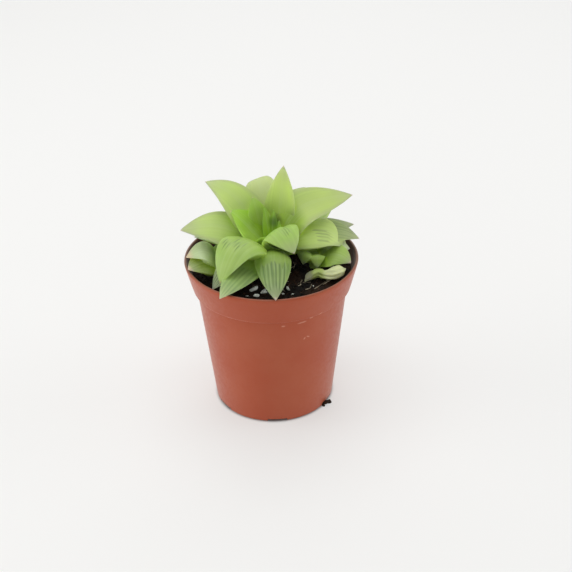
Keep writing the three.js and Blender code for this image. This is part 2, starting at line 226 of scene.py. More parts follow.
# A Mix node's colour sockets, by number, because its sockets share their names
MIX_FIRST = 6
MIX_SECOND = 7
MIX_RESULT = 2


class Finish:
    """A material being wired up, with short ways to add and link nodes."""

    def __init__(self, name):
        self.material = bpy.data.materials.new(name)
        self.material.use_nodes = True
        self.tree = self.material.node_tree
        self.shader = self.tree.nodes["Principled BSDF"]

    def set(self, socket, value):
        """Links a socket to another one, or gives it a value."""
        if isinstance(value, bpy.types.NodeSocket):
            self.tree.links.new(value, socket)
        else:
            socket.default_value = value

    def node(self, kind, **inputs):
        """Adds a node. Its inputs are given by their names, with _ for spaces."""
        made = self.tree.nodes.new(kind)
        for name, value in inputs.items():
            self.set(made.inputs[name.replace("_", " ")], value)
        return made

    def shade(self, **inputs):
        for name, value in inputs.items():
            self.set(self.shader.inputs[name.replace("_", " ")], value)

    def math(self, operation, *values):
        made = self.tree.nodes.new("ShaderNodeMath")
        made.operation = operation
        for socket, value in zip(made.inputs, values):
            self.set(socket, value)
        return made.outputs[0]

    def plus(self, first, second):
        return self.math("ADD", first, second)

    def minus(self, first, second):
        return self.math("SUBTRACT", first, second)

    def times(self, first, *others):
        for other in others:
            first = self.math("MULTIPLY", first, other)
        return first

    def size_of(self, value):
        """A value without its sign."""
        return self.math("ABSOLUTE", value)

    def mix(self, share, first, second):
        made = self.tree.nodes.new("ShaderNodeMix")
        made.data_type = "RGBA"
        self.set(made.inputs["Factor"], share)
        self.set(made.inputs[MIX_FIRST], first)
        self.set(made.inputs[MIX_SECOND], second)
        return made.outputs[MIX_RESULT]

    def between(self, value, low, high, to_low=0.0, to_high=1.0):
        """Maps a value from one range to another, evened out at both ends."""
        made = self.node(
            "ShaderNodeMapRange", Value=value, From_Min=low, From_Max=high, To_Min=to_low, To_Max=to_high
        )
        made.interpolation_type = "SMOOTHSTEP"
        return made.outputs[0]

    def place(self):
        return self.node("ShaderNodeTexCoord").outputs["Object"]

    def apart(self, vector):
        return self.node("ShaderNodeSeparateXYZ", Vector=vector).outputs

    def together(self, x, y):
        return self.node("ShaderNodeCombineXYZ", X=x, Y=y).outputs[0]

    def kept(self, name):
        """Reads what was kept under a name on the piece's points."""
        read = self.tree.nodes.new("ShaderNodeAttribute")
        read.attribute_name = name
        return read.outputs

    def kept_three(self, name):
        return self.apart(self.kept(name)["Vector"])

    def noise(self, scale, detail=3.0, where=None, stretch=None, roughness=0.5):
        """Noise from 0 to 1, with scale waves to the metre on a piece."""
        where = where or self.place()
        if stretch:
            where = self.node("ShaderNodeMapping", Vector=where, Scale=stretch).outputs[0]
        waves = {"Scale": scale, "Detail": detail, "Roughness": roughness}
        return self.node("ShaderNodeTexNoise", Vector=where, **waves).outputs["Fac"]

    def distance_from(self, place):
        away = self.tree.nodes.new("ShaderNodeVectorMath")
        away.operation = "DISTANCE"
        self.set(away.inputs[0], self.place())
        self.set(away.inputs[1], place)
        return away.outputs["Value"]

    def bump(self, height, distance, strength):
        made = self.node("ShaderNodeBump", Height=height, Distance=distance, Strength=strength)
        self.shade(Normal=made.outputs[0])


def colour(red, green, blue):
    """A colour given as a screen shows it, 0 to 255, turned to the light values that Blender works in."""
    def light(value):
        value /= 255
        return value / 12.92 if value <= 0.04045 else ((value + 0.055) / 1.055) ** 2.4
    return (light(red), light(green), light(blue), 1)


# The pot

RIM_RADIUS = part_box("pot")[1].x
POT_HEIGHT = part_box("pot")[1].z
COLLAR_DEPTH = 9.5 * MM
COLLAR_FOOT_RADIUS = 25.3 * MM
COLLAR_ROUND = 0.3 * MM
WALL_TOP_RADIUS = 24.1 * MM
FOOT_RADIUS = 19.4 * MM
FOOT_ROUND = 0.7 * MM
# How far the wall has sloped out where the foot's rounding ends
FOOT_SLOPE = 0.05 * MM
WALL = 1.0 * MM
FLOOR_RAISE = 1.6 * MM
FLOOR = 1.2 * MM
FOOT_RING = 1.6 * MM
# Small bevels of the foot ring and of the step under the collar
RING_BEVEL = 0.2 * MM
STEP_BEVEL = 0.15 * MM
POT_SIDES = 192
POT_SMOOTH = 35
COLLAR_STEP = POT_HEIGHT - COLLAR_DEPTH
FLOOR_TOP = FLOOR_RAISE + FLOOR
# The inside of the collar's step slopes, and the wall thickens towards the floor
INNER_STEP_FOOT = COLLAR_STEP - 0.6 * MM
INNER_STEP_TOP = COLLAR_STEP + 0.8 * MM
FLOOR_CORNER = FLOOR_TOP + 1 * MM
# The top of the wall, outside and inside, just under the lip
OUTER_TOP = (RIM_RADIUS - 0.22 * MM, POT_HEIGHT - 1.5 * MM)
INNER_TOP = (RIM_RADIUS - WALL - 0.25 * MM, POT_HEIGHT - 2 * MM)
# Slots through the foot ring, each with a round hole in the floor behind it
DRAINS = 6
DRAIN_SLOT = (4.8 * MM, 6.4 * MM, 2.0 * MM)
DRAIN_HOLE_RADIUS = 2.2 * MM
DRAIN_HOLE_CIRCLE = 14.2 * MM
DRAIN_HOLE_SIDES = 32
DRAIN_TURN = 2
# How far through the wall, as a share, a point counts as inside
INSIDE_FROM = 0.6


def pot_radius(height):
    """The radius of the pot's outside at a height."""
    if height > COLLAR_STEP:
        return blend(COLLAR_FOOT_RADIUS, RIM_RADIUS, (height - COLLAR_STEP) / COLLAR_DEPTH)
    return blend(FOOT_RADIUS, WALL_TOP_RADIUS, height / COLLAR_STEP)


def corner(centre, radius, start, end, steps=5):
    """Points of a rounded corner, as (radius, height), from one angle to another in degrees."""
    points = []
    for i in range(steps + 1):
        angle = math.radians(blend(start, end, i / steps))
        points.append((centre[0] + radius * math.cos(angle), centre[1] + radius * math.sin(angle)))
    return points


def pot_outline():
    """The pot's section, from under its floor round the foot and over the lip to the floor's top."""
    ring = FOOT_RADIUS - FOOT_RING
    lip = WALL / 2
    foot_corner = (FOOT_RADIUS + FOOT_SLOPE - FOOT_ROUND, FOOT_ROUND)
    collar_corner = (COLLAR_FOOT_RADIUS - COLLAR_ROUND, COLLAR_STEP + COLLAR_ROUND)
    return [
        # down inside the foot ring
        (ring - 1 * MM, FLOOR_RAISE),
        (ring - RING_BEVEL, FLOOR_RAISE),
        (ring, FLOOR_RAISE - RING_BEVEL),
        (ring, RING_BEVEL),
        (ring + RING_BEVEL, 0),
        # round the foot and up the wall
        *corner(foot_corner, FOOT_ROUND, -90, -4),
        *((pot_radius(height), height) for height in (2 * MM, COLLAR_STEP / 2, COLLAR_STEP - 1 * MM)),
        # out under the collar and up it
        (WALL_TOP_RADIUS, COLLAR_STEP - STEP_BEVEL),
        (WALL_TOP_RADIUS + STEP_BEVEL, COLLAR_STEP),
        *corner(collar_corner, COLLAR_ROUND, -90, 0),
        (pot_radius(COLLAR_STEP + 2 * MM), COLLAR_STEP + 2 * MM),
        OUTER_TOP,
        # over the lip and down inside
        *corner((RIM_RADIUS - lip, POT_HEIGHT - lip), lip, 0, 180, 10),
        INNER_TOP,
        (COLLAR_FOOT_RADIUS - WALL, INNER_STEP_TOP),
        (WALL_TOP_RADIUS - WALL, INNER_STEP_FOOT),
        (pot_radius(FLOOR_CORNER) - WALL, FLOOR_CORNER),
        (pot_radius(FLOOR_TOP) - 2 * WALL, FLOOR_TOP),
    ]


def cut_drains(pot):
    """Cuts the slots through the foot ring and the holes through the floor."""
    for i in range(DRAINS):
        angle = math.radians(i * 360 / DRAINS + DRAIN_TURN - 90)
        around = Matrix.Rotation(angle, 3, "Z")
        start_clear()
        bpy.ops.mesh.primitive_cube_add(size=1, rotation=(0, 0, angle), scale=DRAIN_SLOT)
        slot = bpy.context.object
        slot.location = around @ Vector((FOOT_RADIUS - FOOT_RING / 2, 0, 0))
        bpy.ops.mesh.primitive_cylinder_add(
            vertices=DRAIN_HOLE_SIDES, radius=DRAIN_HOLE_RADIUS, depth=4 * FLOOR
        )
        hole = bpy.context.object
        hole.location = around @ Vector((DRAIN_HOLE_CIRCLE, 0, FLOOR_RAISE + FLOOR / 2))
        for cutter in (slot, hole):
            cut = pot.modifiers.new("drain", "BOOLEAN")
            cut.operation = "DIFFERENCE"
            cut.solver = "EXACT"
            cut.object = cutter
            take(pot)
            bpy.ops.object.modifier_apply(modifier=cut.name)
            bpy.data.objects.remove(cutter)


def mark_inside(pot):
    """Marks the points on the inside of the pot, which are coloured darker."""
    marks = pot.data.attributes.new("inside", "FLOAT", "POINT")
    for vertex, mark in zip(pot.data.vertices, marks.data):
        radius = math.hypot(vertex.co.x, vertex.co.y)
        within = radius < pot_radius(vertex.co.z) - INSIDE_FROM * WALL
        mark.value = float(vertex.co.z > FLOOR_RAISE and within)


def make_pot(material):
    pot = lathe("nursery_pot", POT_SIDES, pot_outline())
    cut_drains(pot)
    mark_inside(pot)
    smooth(pot, POT_SMOOTH)
    return finish_piece(pot, "pot_plastic", material, "pot")


POT_COLOUR = colour(172, 74, 38)
POT_DUSTY = colour(176, 84, 50)
POT_STREAK = colour(160, 80, 58)
POT_INSIDE = colour(93, 57, 34)
POT_RUB_AND_HIGHLIGHT = colour(212, 148, 122)
# A fade is where it starts and ends, and its strengths there where they aren't none and full
DUSTING = (0.3, 0.75)
STREAKING = (0.55, 0.8, 0, 0.12)
# The lip's top is painted darker all round, a painted shade that dulls the light falling on it from
# above, and it is darker and greyer behind the front
POT_LIP_SHADE = colour(132, 82, 62)
POT_LIP = colour(118, 92, 74)
LIP_TOP = (POT_HEIGHT - 0.45 * MM, POT_HEIGHT - 0.15 * MM)
LIP_PAINTED_SHADE = 0.55
LIP_GREYING = 0.8
LIP_GREY_FROM = (-14 * MM, -4 * MM)
# Pale rub marks on the wall: [azimuth, height in mm, length in mm, rise in degrees]
RUBS = [
    [34.5, 41.6, 2.8, 30], [29.5, 40.6, 2, 10], [22, 39.7, 4.4, 4], [27.5, 33.5, 1.8, -25],
    [24.5, 33.2, 1.5, 50], [7.5, 39.4, 1.8, 0], [-110, 30, 2, 20], [150, 33, 4, 8],
    [212, 41, 3, -15], [265, 26, 2.4, 30],
]
RUB_WIDTH = 0.7 * MM
RUB_FADE = (0.6, 1.5, 0.6, 0)
# A painted highlight along the collar's lower edge, broken into patches here and there
COLLAR_EDGE = COLLAR_STEP + 0.2 * MM
COLLAR_EDGE_FADE = (0.1 * MM, 0.45 * MM, 1, 0)
COLLAR_HIGHLIGHT_PATCHES = (0.45, 0.65)
COLLAR_HIGHLIGHT = 0.16


def rub_mark(f, around, height, crumble, rub):
    """How strongly a rub mark shows at an azimuth and height on the pot. Its outline crumbles away."""
    turn, middle, length, rise = rub
    azimuth = math.remainder(math.radians(turn), math.tau)
    beside = f.times(f.minus(around, azimuth), RIM_RADIUS)
    above = f.minus(height, middle * MM)
    cosine = math.cos(math.radians(rise))
    sine = math.sin(math.radians(rise))
    along = f.plus(f.times(beside, cosine), f.times(above, sine))
    across = f.minus(f.times(above, cosine), f.times(beside, sine))
    off = [
        f.math("POWER", f.size_of(f.times(way, 2 / span)), 2)
        for way, span in ((along, length * MM), (across, RUB_WIDTH))
    ]
    return f.between(f.plus(f.plus(*off), crumble), *RUB_FADE)


def pot_plastic():
    """Satin moulded plastic, a little dusty, with darker insides and a few rub marks, painted shade on
    the lip's top and a painted highlight along the collar's lower edge.
    """
    f = Finish("terracotta plastic")
    x, y, z = f.apart(f.place())
    streaks = f.noise(220, 2, stretch=(1, 1, 0.12))
    tint = f.mix(f.between(f.noise(60, 4), *DUSTING), POT_COLOUR, POT_DUSTY)
    tint = f.mix(f.between(streaks, *STREAKING), tint, POT_STREAK)
    lip = f.between(z, *LIP_TOP)
    behind_front = f.between(y, *LIP_GREY_FROM)
    # Painted shade on the lip's top, against the light falling on it from above
    tint = f.mix(f.times(lip, LIP_PAINTED_SHADE), tint, POT_LIP_SHADE)
    # Darker and greyer behind the front
    tint = f.mix(f.times(lip, behind_front, LIP_GREYING), tint, POT_LIP)
    tint = f.mix(f.kept("inside")["Fac"], tint, POT_INSIDE)
    around = f.math("ARCTAN2", x, f.times(y, -1))
    crumble = f.noise(1600, 3)
    for rub in RUBS:
        tint = f.mix(rub_mark(f, around, z, crumble, rub), tint, POT_RUB_AND_HIGHLIGHT)
    # Painted highlight along the collar's lower edge, in the rub marks' paler colour
    edge = f.between(f.size_of(f.minus(z, COLLAR_EDGE)), *COLLAR_EDGE_FADE)
    highlight_patches = f.between(f.noise(90, 2), *COLLAR_HIGHLIGHT_PATCHES)
    tint = f.mix(f.times(edge, highlight_patches, COLLAR_HIGHLIGHT), tint, POT_RUB_AND_HIGHLIGHT)
    f.shade(Base_Color=tint)
    f.shade(Roughness=f.between(f.noise(900, 3), 0.3, 0.7, 0.36, 0.5))
    f.shade(Specular_IOR_Level=0.35, Sheen_Weight=0.2, Sheen_Roughness=0.4)
    f.bump(f.noise(1500, 2), 0.03 * MM, 0.25)
    return f.material


# The soil

SOIL_EDGE_HEIGHT = 46.3
SOIL_MOUND = 0.8
SOIL_LUMP = 0.3
SOIL_GAP = 0.25 * MM
SOIL_SIDES = 200
SOIL_RINGS = 64
SOIL_SMOOTH = 60
SOIL_STEP_TOP = COLLAR_STEP + 0.9 * MM
SOIL_EDGE_DROP = 0.5 * MM
TOP_BAND = 0.1 * MM
# The crumbs' relief: how close together they lie, in 1/mm, how high they stand, in mm, and where each
# kind is taken from the noise
SOIL_RELIEF = [[noise.noise, 0.8, 0.45, 3.1], [noise.noise, 2.1, 0.3, 7.7], [noise.cell, 1.3, 0.12, 0.5]]


def soil_height(x, y):
    """The height of the soil's top at a place, all in millimetres."""
    share = math.hypot(x, y) / (RIM_RADIUS / MM)
    lumps = (
        math.sin(x * 0.9 + 1.3) * math.cos(y * 0.8 - 0.4)
        + 0.6 * math.sin(x * 1.7 - y * 1.3 + 2.1)
        + 0.5 * math.cos(x * 0.6 + y * 2.1)
    )
    return SOIL_EDGE_HEIGHT + SOIL_MOUND * (1 - share * share) + SOIL_LUMP * lumps


def crumb_height(x, y):
    """The soil's height with its crumbs, in millimetres."""
    height = soil_height(x, y)
    for kind, closeness, relief, layer in SOIL_RELIEF:
        height += relief * kind(Vector((x * closeness, y * closeness, layer)))
    return height


def make_soil(material):
    """The peat as one body, drawn in rings over its top, whose points then take the crumbs' relief."""
    edge_height = SOIL_EDGE_HEIGHT * MM
    inset = WALL + SOIL_GAP
    edge = pot_radius(edge_height) - inset
    outline = [
        (pot_radius(FLOOR_TOP) - WALL - inset, FLOOR_TOP + SOIL_GAP),
        (pot_radius(FLOOR_CORNER) - inset, FLOOR_CORNER),
        (WALL_TOP_RADIUS - inset, INNER_STEP_FOOT),
        (COLLAR_FOOT_RADIUS - inset, SOIL_STEP_TOP),
        (edge, edge_height - SOIL_EDGE_DROP),
    ]
    outline += [(edge * (1 - i / SOIL_RINGS), edge_height) for i in range(SOIL_RINGS)]
    soil = lathe("peat", SOIL_SIDES, outline)
    points = get_points(soil)
    for point in points:
        if point[2] > edge_height - TOP_BAND:
            point[2] = crumb_height(point[0] / MM, point[1] / MM) * MM
    set_points(soil, points)
    smooth(soil, SOIL_SMOOTH)
    return finish_piece(soil, "soil", material, "soil")


PEAT_BLACK = colour(21, 19, 17)
PEAT_BROWN = colour(43, 28, 18)
PEAT_GRAIN = colour(90, 60, 36)


def peat():
    f = Finish("damp peat")
    dark = f.mix(f.between(f.noise(160, 3), 0.35, 0.65), PEAT_BLACK, PEAT_BROWN)
    grains = f.between(f.noise(900, 5, roughness=0.65), 0.52, 0.78)
    f.shade(Base_Color=f.mix(grains, dark, PEAT_GRAIN), Roughness=0.92, Specular_IOR_Level=0.25)
    f.bump(f.noise(1400, 4), 0.4 * MM, 0.8)
    return f.material


# The leaves

# Each leaf: az is the way it points. root, bend and tip are [reach from the stem's middle, height
# above the table]. width and thick are its largest, sharp says how hard it turns at the bend, roll
# tips its face sideways, cup hollows its upper face, and crease folds it. stripes says how clear its
# window lines are, lines how far along they run, lanes how far across, and waves how close they stand.
# deep is where the deep colour of its base gives way, grey how much its end has greyed, edge how much
# its margins have, dry how long its dry point is, cleft where the shade at its base ends, under how
# shaded its underside is, and tone names its colour.
BLADE = {
    "thick": 5, "sharp": 1.5, "roll": 0, "cup": 0.1, "root": [1.5, 50.3], "crease": 0, "stripes": 0.25,
    "lines": [0.45, 0.95], "lanes": [0, 1], "waves": 26, "deep": [0.1, 0.68], "grey": 1, "edge": 0,
    "dry": 0.03, "cleft": 0, "under": 0.2, "tone": "outer",
}


def blade(az, tip, bend, width, **more):
    """A leaf for the tables, with what it doesn't share with the others."""
    return {"az": az, "tip": tip, "bend": bend, "width": width, **more}


MAIN_LEAVES = [
    # the heart of the rosette
    blade(222, [8.1, 68.8], [4.6, 60.8], 9, thick=2.6, roll=-6, cup=0.9, root=[2, 53], stripes=0,
          grey=0.3, tone="inner"),
    blade(205, [4.7, 66.3], [1.8, 60], 3.6, thick=1.8, cup=0.3, root=[0.5, 52.5], stripes=0, grey=0,
          tone="deep"),
    blade(165, [4.4, 65.2], [1.6, 59], 3.4, thick=1.8, cup=0.3, root=[0.5, 52.5], stripes=0, grey=0,
          tone="deep"),
    blade(130, [3.6, 62], [2.2, 58], 4.6, thick=2.2, cup=0.6, root=[0.6, 52.5], stripes=0, grey=0.1,
          tone="heart"),
    blade(274, [12.2, 67.5], [4, 60], 12, thick=3, roll=-28, cup=1.4, root=[0.2, 53.5], stripes=0,
          grey=0.1, tone="heart"),
    blade(345, [5.4, 60.5], [3.5, 58.5], 9, thick=4, cup=0.3, root=[0.8, 52], stripes=0, grey=0.1,
          under=0.8, tone="heart"),
    # the tall leaves at the back
    blade(152, [9.6, 78], [6.4, 63], 10.8, thick=4, cup=0.9, root=[1.5, 52], stripes=0,
          deep=[0.28, 0.7], edge=0.6, tone="bright"),
    blade(193, [21.5, 67], [12.5, 74.8], 13, thick=4.2, roll=-14, cup=0.4, stripes=0,
          deep=[0.15, 0.45], edge=0.7, tone="hazy"),
    blade(240, [23.5, 71.7], [9, 71], 12.4, thick=4.4, sharp=1.4, roll=-24, cup=0.8, stripes=0,
          deep=[0.1, 0.5], edge=1, tone="side"),
    blade(114, [29, 65.7], [6.5, 68.5], 13.6, thick=4.8, sharp=2, roll=24, cup=0.7, stripes=0,
          deep=[0.32, 0.52], edge=1, tone="tall"),
    blade(142, [18.6, 67.6], [10, 67], 11, thick=4, roll=8, cup=0.6, stripes=0, tone="tall"),
    # the broad leaves at the sides and the front
    blade(271, [28.1, 60.9], [13, 64.4], 14.4, thick=5.5, roll=-23, cup=0.2, stripes=0.05, grey=1.3,
          edge=1, tone="side"),
    blade(30, [14, 58], [3.6, 65.4], 12.6, thick=6.5, sharp=1.8, roll=9, cup=-0.6, root=[3, 50.3],
          crease=1, stripes=0.6, lines=[0.57, 0.73], lanes=[0.4, 0.8], waves=36, under=0.85,
          tone="fresh"),
    blade(92, [24.2, 52.2], [19, 60.8], 13.2, sharp=1.8, roll=19, cup=-0.4, root=[2, 56.3],
          stripes=0.6, lines=[0.52, 0.71], lanes=[0.06, 0.55], waves=33, edge=0.4, dry=0.06,
          tone="shaded"),
    blade(320, [24.6, 52.3], [16.5, 66.6], 13.6, roll=-6, cup=-0.7, root=[1.5, 51.5], stripes=0.75,
          lines=[0.56, 0.66], lanes=[0.06, 0.7], waves=37, grey=0.2),
    blade(2, [28.5, 51.6], [11.6, 57.4], 11.2, thick=3.8, sharp=2, cup=-2, root=[-1, 51], stripes=1,
          lines=[0.57, 0.9], lanes=[0.03, 0.97], waves=27, cleft=0.41, dry=0.05, tone="window"),
    # the lowest leaves, near the soil and the rim
    blade(330, [31.2, 51.7], [16, 55], 10, thick=3, roll=-10, cup=0, root=[1.5, 51], stripes=0.42,
          waves=21, tone="low"),
    blade(314, [25.2, 49.2], [18, 55.4], 12, thick=2.6, cup=0, stripes=0.9, waves=31, tone="grey"),
    blade(97, [28.4, 54.3], [18.5, 61], 11, thick=3.2, roll=24, root=[2, 52.5], stripes=0.3, tone="grey"),
    blade(108, [28.3, 56.6], [15, 59.5], 11, thick=3.6, roll=11, root=[2, 52], stripes=0.3, tone="grey"),
    blade(133, [28.2, 57.7], [14.5, 61], 11.6, thick=4.6, sharp=0.9, roll=12, cup=0.4, tone="side"),
    # the leaves at the back, which the tall ones hide from the front
    blade(156, [27.6, 57], [14, 62], 12, thick=4.8, cup=0.3),
    blade(181, [28.4, 57.5], [14, 63], 12, cup=0.2),
    blade(210, [28.2, 57], [14, 63], 12.5, cup=0.2),
    blade(233, [26.5, 55.5], [15, 60], 11.5, thick=4.6),
    blade(252, [26, 54], [14, 57], 10, thick=4, cup=0, stripes=0.5, tone="low"),
    blade(167, [24, 51], [14, 56.5], 10.5, thick=3.8, cup=0, stripes=0.6, tone="low"),
    blade(196, [25, 51.5], [14, 57], 11, thick=3.8, cup=0, stripes=0.6, tone="low"),
]

LEFT_LEAVES = [
    blade(275, [11.6, 53.8], [5.2, 58], 10, thick=4, sharp=1.8, roll=-8, stripes=0.12, dry=0.22,
          tone="pale"),
    blade(298, [12.2, 52], [7, 53.8], 10.5, thick=4.2, sharp=1.6, roll=-14, stripes=0.2, dry=0.14,
          tone="brown"),
    blade(240, [9, 53.5], [4.5, 54.5], 7, thick=3.4),
    blade(185, [7, 54.5], [3.5, 55], 6.5, thick=3.2),
    blade(60, [4.5, 54], [3, 53], 5, thick=2.6),
]

RIGHT_LEAVES = [
    blade(58, [12.6, 51.4], [7.5, 54.3], 8.8, thick=3, sharp=1.7, roll=28, stripes=0.1, dry=0.08,
          tone="olive"),
    blade(85, [10.8, 53.4], [6.6, 54.6], 8.5, thick=3.2, roll=24, stripes=0, tone="pale"),
    blade(2, [6.4, 49.8], [6, 55], 5.2, thick=2.8, sharp=2, cup=-0.6, stripes=0.1, tone="olive"),
    blade(312, [5.6, 49.6], [5.8, 55.5], 7, thick=2.8, sharp=2, cup=-0.6, stripes=0.1),
    blade(130, [9, 53.5], [5, 54], 7.5, thick=3.2),
    blade(215, [5, 54], [3, 53.5], 5.5, thick=2.8),
]

TONES = {
    "heart": (140, 182, 50),
    "inner": (150, 186, 70),
    "deep": (126, 168, 24),
    "bright": (187, 212, 114),
    "tall": (175, 199, 104),
    "side": (180, 207, 111),
    "fresh": (159, 196, 92),
    "outer": (154, 186, 92),
    "shaded": (192, 216, 122),
    # The front leaf's tone, dark partly for its own windows and partly as painted shade from the leaf
    # above it
    "window": (107, 139, 57),
    "hazy": (184, 200, 130),
    "brown": (113, 136, 36),
    "low": (145, 178, 98),
    "grey": (142, 160, 104),
    "pale": (186, 204, 156),
    "olive": (145, 179, 72),
}

MAIN_STEM = {"x": 0, "y": 0, "radius": 4.2, "foot": 40, "neck": 51, "top": 57, "top_radius": 2.2}
LEFT_STEM = {"x": -15, "y": -4, "radius": 2, "foot": 42.5, "neck": 48.5, "top": 51.5, "top_radius": 1.2}
RIGHT_STEM = {"x": 14, "y": -0.5, "radius": 2, "foot": 42.5, "neck": 48.5, "top": 51.5, "top_radius": 1.2}
STEM_SIDES = 24

# What all leaves of an offset share
LEFT_SHARED = {"root": [0.8, 49.6], "cup": 0}
RIGHT_SHARED = {"root": [0.8, 49.2], "cup": 0}

# Each head: its name, the node that it stands for, its slot, its leaves, what they share, and its stem
HEADS = [
    ["rosette", "main_rosette", "leaf", MAIN_LEAVES, {}, MAIN_STEM],
    ["left_pup", "left_offset", "young_leaf", LEFT_LEAVES, LEFT_SHARED, LEFT_STEM],
    ["right_pup", "right_offset", "young_leaf", RIGHT_LEAVES, RIGHT_SHARED, RIGHT_STEM],
]
HEAD_SMOOTH = 60

# The plain leaf: its faces along and around, where it is broadest, its width and thickness at the
# root as shares of the largest, and how it tapers to its point
LEAF_STATIONS = 40
LEAF_SECTION = 32
STATION_SPREAD = 0.92
SHOULDER = 0.46
ROOT_WIDTH = 0.52
ROOT_THICKNESS = 0.6
WIDTH_TAPER = 1.9
THICKNESS_TAPER = 1.15
THINNING = 0.94
# Its section: how far the face rises in the middle and at its margins, and the keel's depth and roundness
FACE_CROWN = 0.12
FACE_MARGIN = 0.05
KEEL_DEPTH = 0.84
KEEL_ROUND = 0.71
# Short of the point, where the width is still enough to divide by
NEAR_POINT = 0.999
LEAST_WIDTH = 1e-3
LEVEL = 1e-6

MIDRIB_POINTS = 161
CUP_DEPTH = 0.2
# The fold in a leaf's face: its place across from -1 to 1 and along from 0 to 1, its half sizes in
# the same measures, and its depth in millimetres
CREASE_ACROSS = 0.45
CREASE_ALONG = 0.58
CREASE_WIDTH = 0.09
CREASE_LENGTH = 0.13
CREASE_DEPTH = 0.7
# How each leaf sways from its plain form: how closely, in 1/mm, how far, in mm, and how far on in the
# noise the next leaf is
SWAY_CLOSENESS = 0.16
SWAY_REACH = 0.12
SWAY_APART = 3.7
# Where in the noise the sways and crumples are taken from, so that they come out the same on each run
SWAY_SEED = 1


def width_share(u):
    """The plain leaf's width at a share of its length."""
    if u < SHOULDER:
        return blend(ROOT_WIDTH, 1, math.sin(u / SHOULDER * math.pi / 2))
    return 1 - ((u - SHOULDER) / (1 - SHOULDER)) ** WIDTH_TAPER


def thick_share(u):
    if u < SHOULDER:
        return blend(ROOT_THICKNESS, 1, math.sin(u / SHOULDER * math.pi / 2))
    return 1 - THINNING * ((u - SHOULDER) / (1 - SHOULDER)) ** THICKNESS_TAPER


def model_leaf():
    """The straight leaf that all are copied from: 1 long up Y, 2 wide along X and 1 thick along Z."""
    start_clear()
    bpy.ops.mesh.primitive_circle_add(vertices=LEAF_SECTION, radius=1, rotation=(math.pi / 2, 0, 0))
    leaf = settle(bpy.context.object)
    # The round section gets a nearly flat face above and a rounded keel beneath.
    for vertex in leaf.data.vertices:
        room = max(0, 1 - vertex.co.x * vertex.co.x)
        if vertex.co.z >= -LEVEL:
            vertex.co.z = FACE_CROWN * room + FACE_MARGIN * math.sqrt(room)
        else:
            vertex.co.z = -KEEL_DEPTH * room ** KEEL_ROUND
    bpy.ops.object.mode_set(mode="EDIT")
    bpy.ops.mesh.select_all(action="SELECT")
    bpy.ops.transform.resize(value=(width_share(0), 1, thick_share(0)), center_override=(0, 0, 0))
    close_first_loop()
    last = 0
    for i in range(1, LEAF_STATIONS):
        u = (i / LEAF_STATIONS) ** STATION_SPREAD
        wider = width_share(u) / width_share(last)
        thicker = thick_share(u) / thick_share(last)
        draw_on((0, u - last, 0), (wider, 1, thicker), (0, u, 0))
        last = u
    bpy.ops.mesh.extrude_edges_move(TRANSFORM_OT_translate={"value": (0, 1 - last, 0)})
    bpy.ops.mesh.merge(type="CENTER")
    bpy.ops.mesh.select_all(action="SELECT")
    bpy.ops.mesh.normals_make_consistent(inside=False)
    bpy.ops.object.mode_set(mode="OBJECT")
    return named(leaf, "leaf_pattern")


def lay_leaf_map(leaf):
    """Unwraps the straight leaf: across it on U, from margin to margin, and along it on V."""
    points = get_points(leaf)
    layer = leaf.data.uv_layers.new(name="leaf")
    for loop in leaf.data.loops:
        x, y, _ = points[loop.vertex_index]
        share = x / max(width_share(min(y, NEAR_POINT)), LEAST_WIDTH)
        layer.data[loop.index].uv = (0.5 + 0.5 * max(-1, min(1, share)), y)
    for name, values in (("aside", points[:, 0]), ("keel", -points[:, 2])):
        kept = leaf.data.attributes.new(name, "FLOAT", "POINT")
        kept.data.foreach_set("value", values)


def rational(t, start, middle, end, weight):
    """A point of a curve from start to end that is drawn towards middle, harder with more weight."""
    a, b, c = (1 - t) ** 2, 2 * weight * t * (1 - t), t * t
    return (a * start + b * middle + c * end) / (a + b + c)


def bend_leaf(straight, leaf, stem):
    """Sizes a straight leaf's points, hollows its face and lays it along its midrib, in millimetres."""
    t = np.linspace(0, 1, MIDRIB_POINTS)
    reach, height = (
        rational(t, root, bend, tip, leaf["sharp"])
        for root, bend, tip in zip(leaf["root"], leaf["bend"], leaf["tip"])
    )
    length = np.concatenate([[0], np.cumsum(np.hypot(np.diff(reach), np.diff(height)))])
    slope_reach, slope_height = np.gradient(reach, length), np.gradient(height, length)
    along = straight[:, 1] * length[-1]
    out, up_by = np.interp(along, length, reach), np.interp(along, length, height)
    ahead_out, ahead_up = np.interp(along, length, slope_reach), np.interp(along, length, slope_height)
    scale = np.hypot(ahead_out, ahead_up)
    ahead_out, ahead_up = ahead_out / scale, ahead_up / scale

    turn, roll = math.radians(leaf["az"]), math.radians(leaf["roll"])
    outward = np.array([math.sin(turn), -math.cos(turn), 0])
    level = np.array([math.cos(turn), math.sin(turn), 0])
    upward = np.array([0, 0, 1.0])
    # The leaf's own upward way is square to the way ahead and to the level way across.
    lift = -np.outer(ahead_up, outward) + np.outer(ahead_out, upward)
    side = level * math.cos(roll) + lift * math.sin(roll)
    above = lift * math.cos(roll) - level * math.sin(roll)

    share = np.array([width_share(min(u, NEAR_POINT)) for u in straight[:, 1]])
    half = leaf["width"] / 2 * share
    face = straight[:, 2] > 0
    hollow = np.clip((1 - straight[:, 1]) / (1 - SHOULDER), 0, 1)
    across = np.clip(straight[:, 0] / share, -1, 1)
    cupped = leaf["cup"] * CUP_DEPTH * half * hollow * (1 - across ** 2) * face
    off_across = (across - CREASE_ACROSS) / CREASE_WIDTH
    off_along = (straight[:, 1] - CREASE_ALONG) / CREASE_LENGTH
    cupped += leaf["crease"] * CREASE_DEPTH * np.exp(-off_across ** 2 - off_along ** 2) * face
    rise = straight[:, 2] * leaf["thick"] - cupped
    middle = np.outer(out, outward) + np.outer(up_by, upward) + np.array([stem["x"], stem["y"], 0])
    return middle + side * (straight[:, 0] * leaf["width"] / 2)[:, None] + above * rise[:, None]


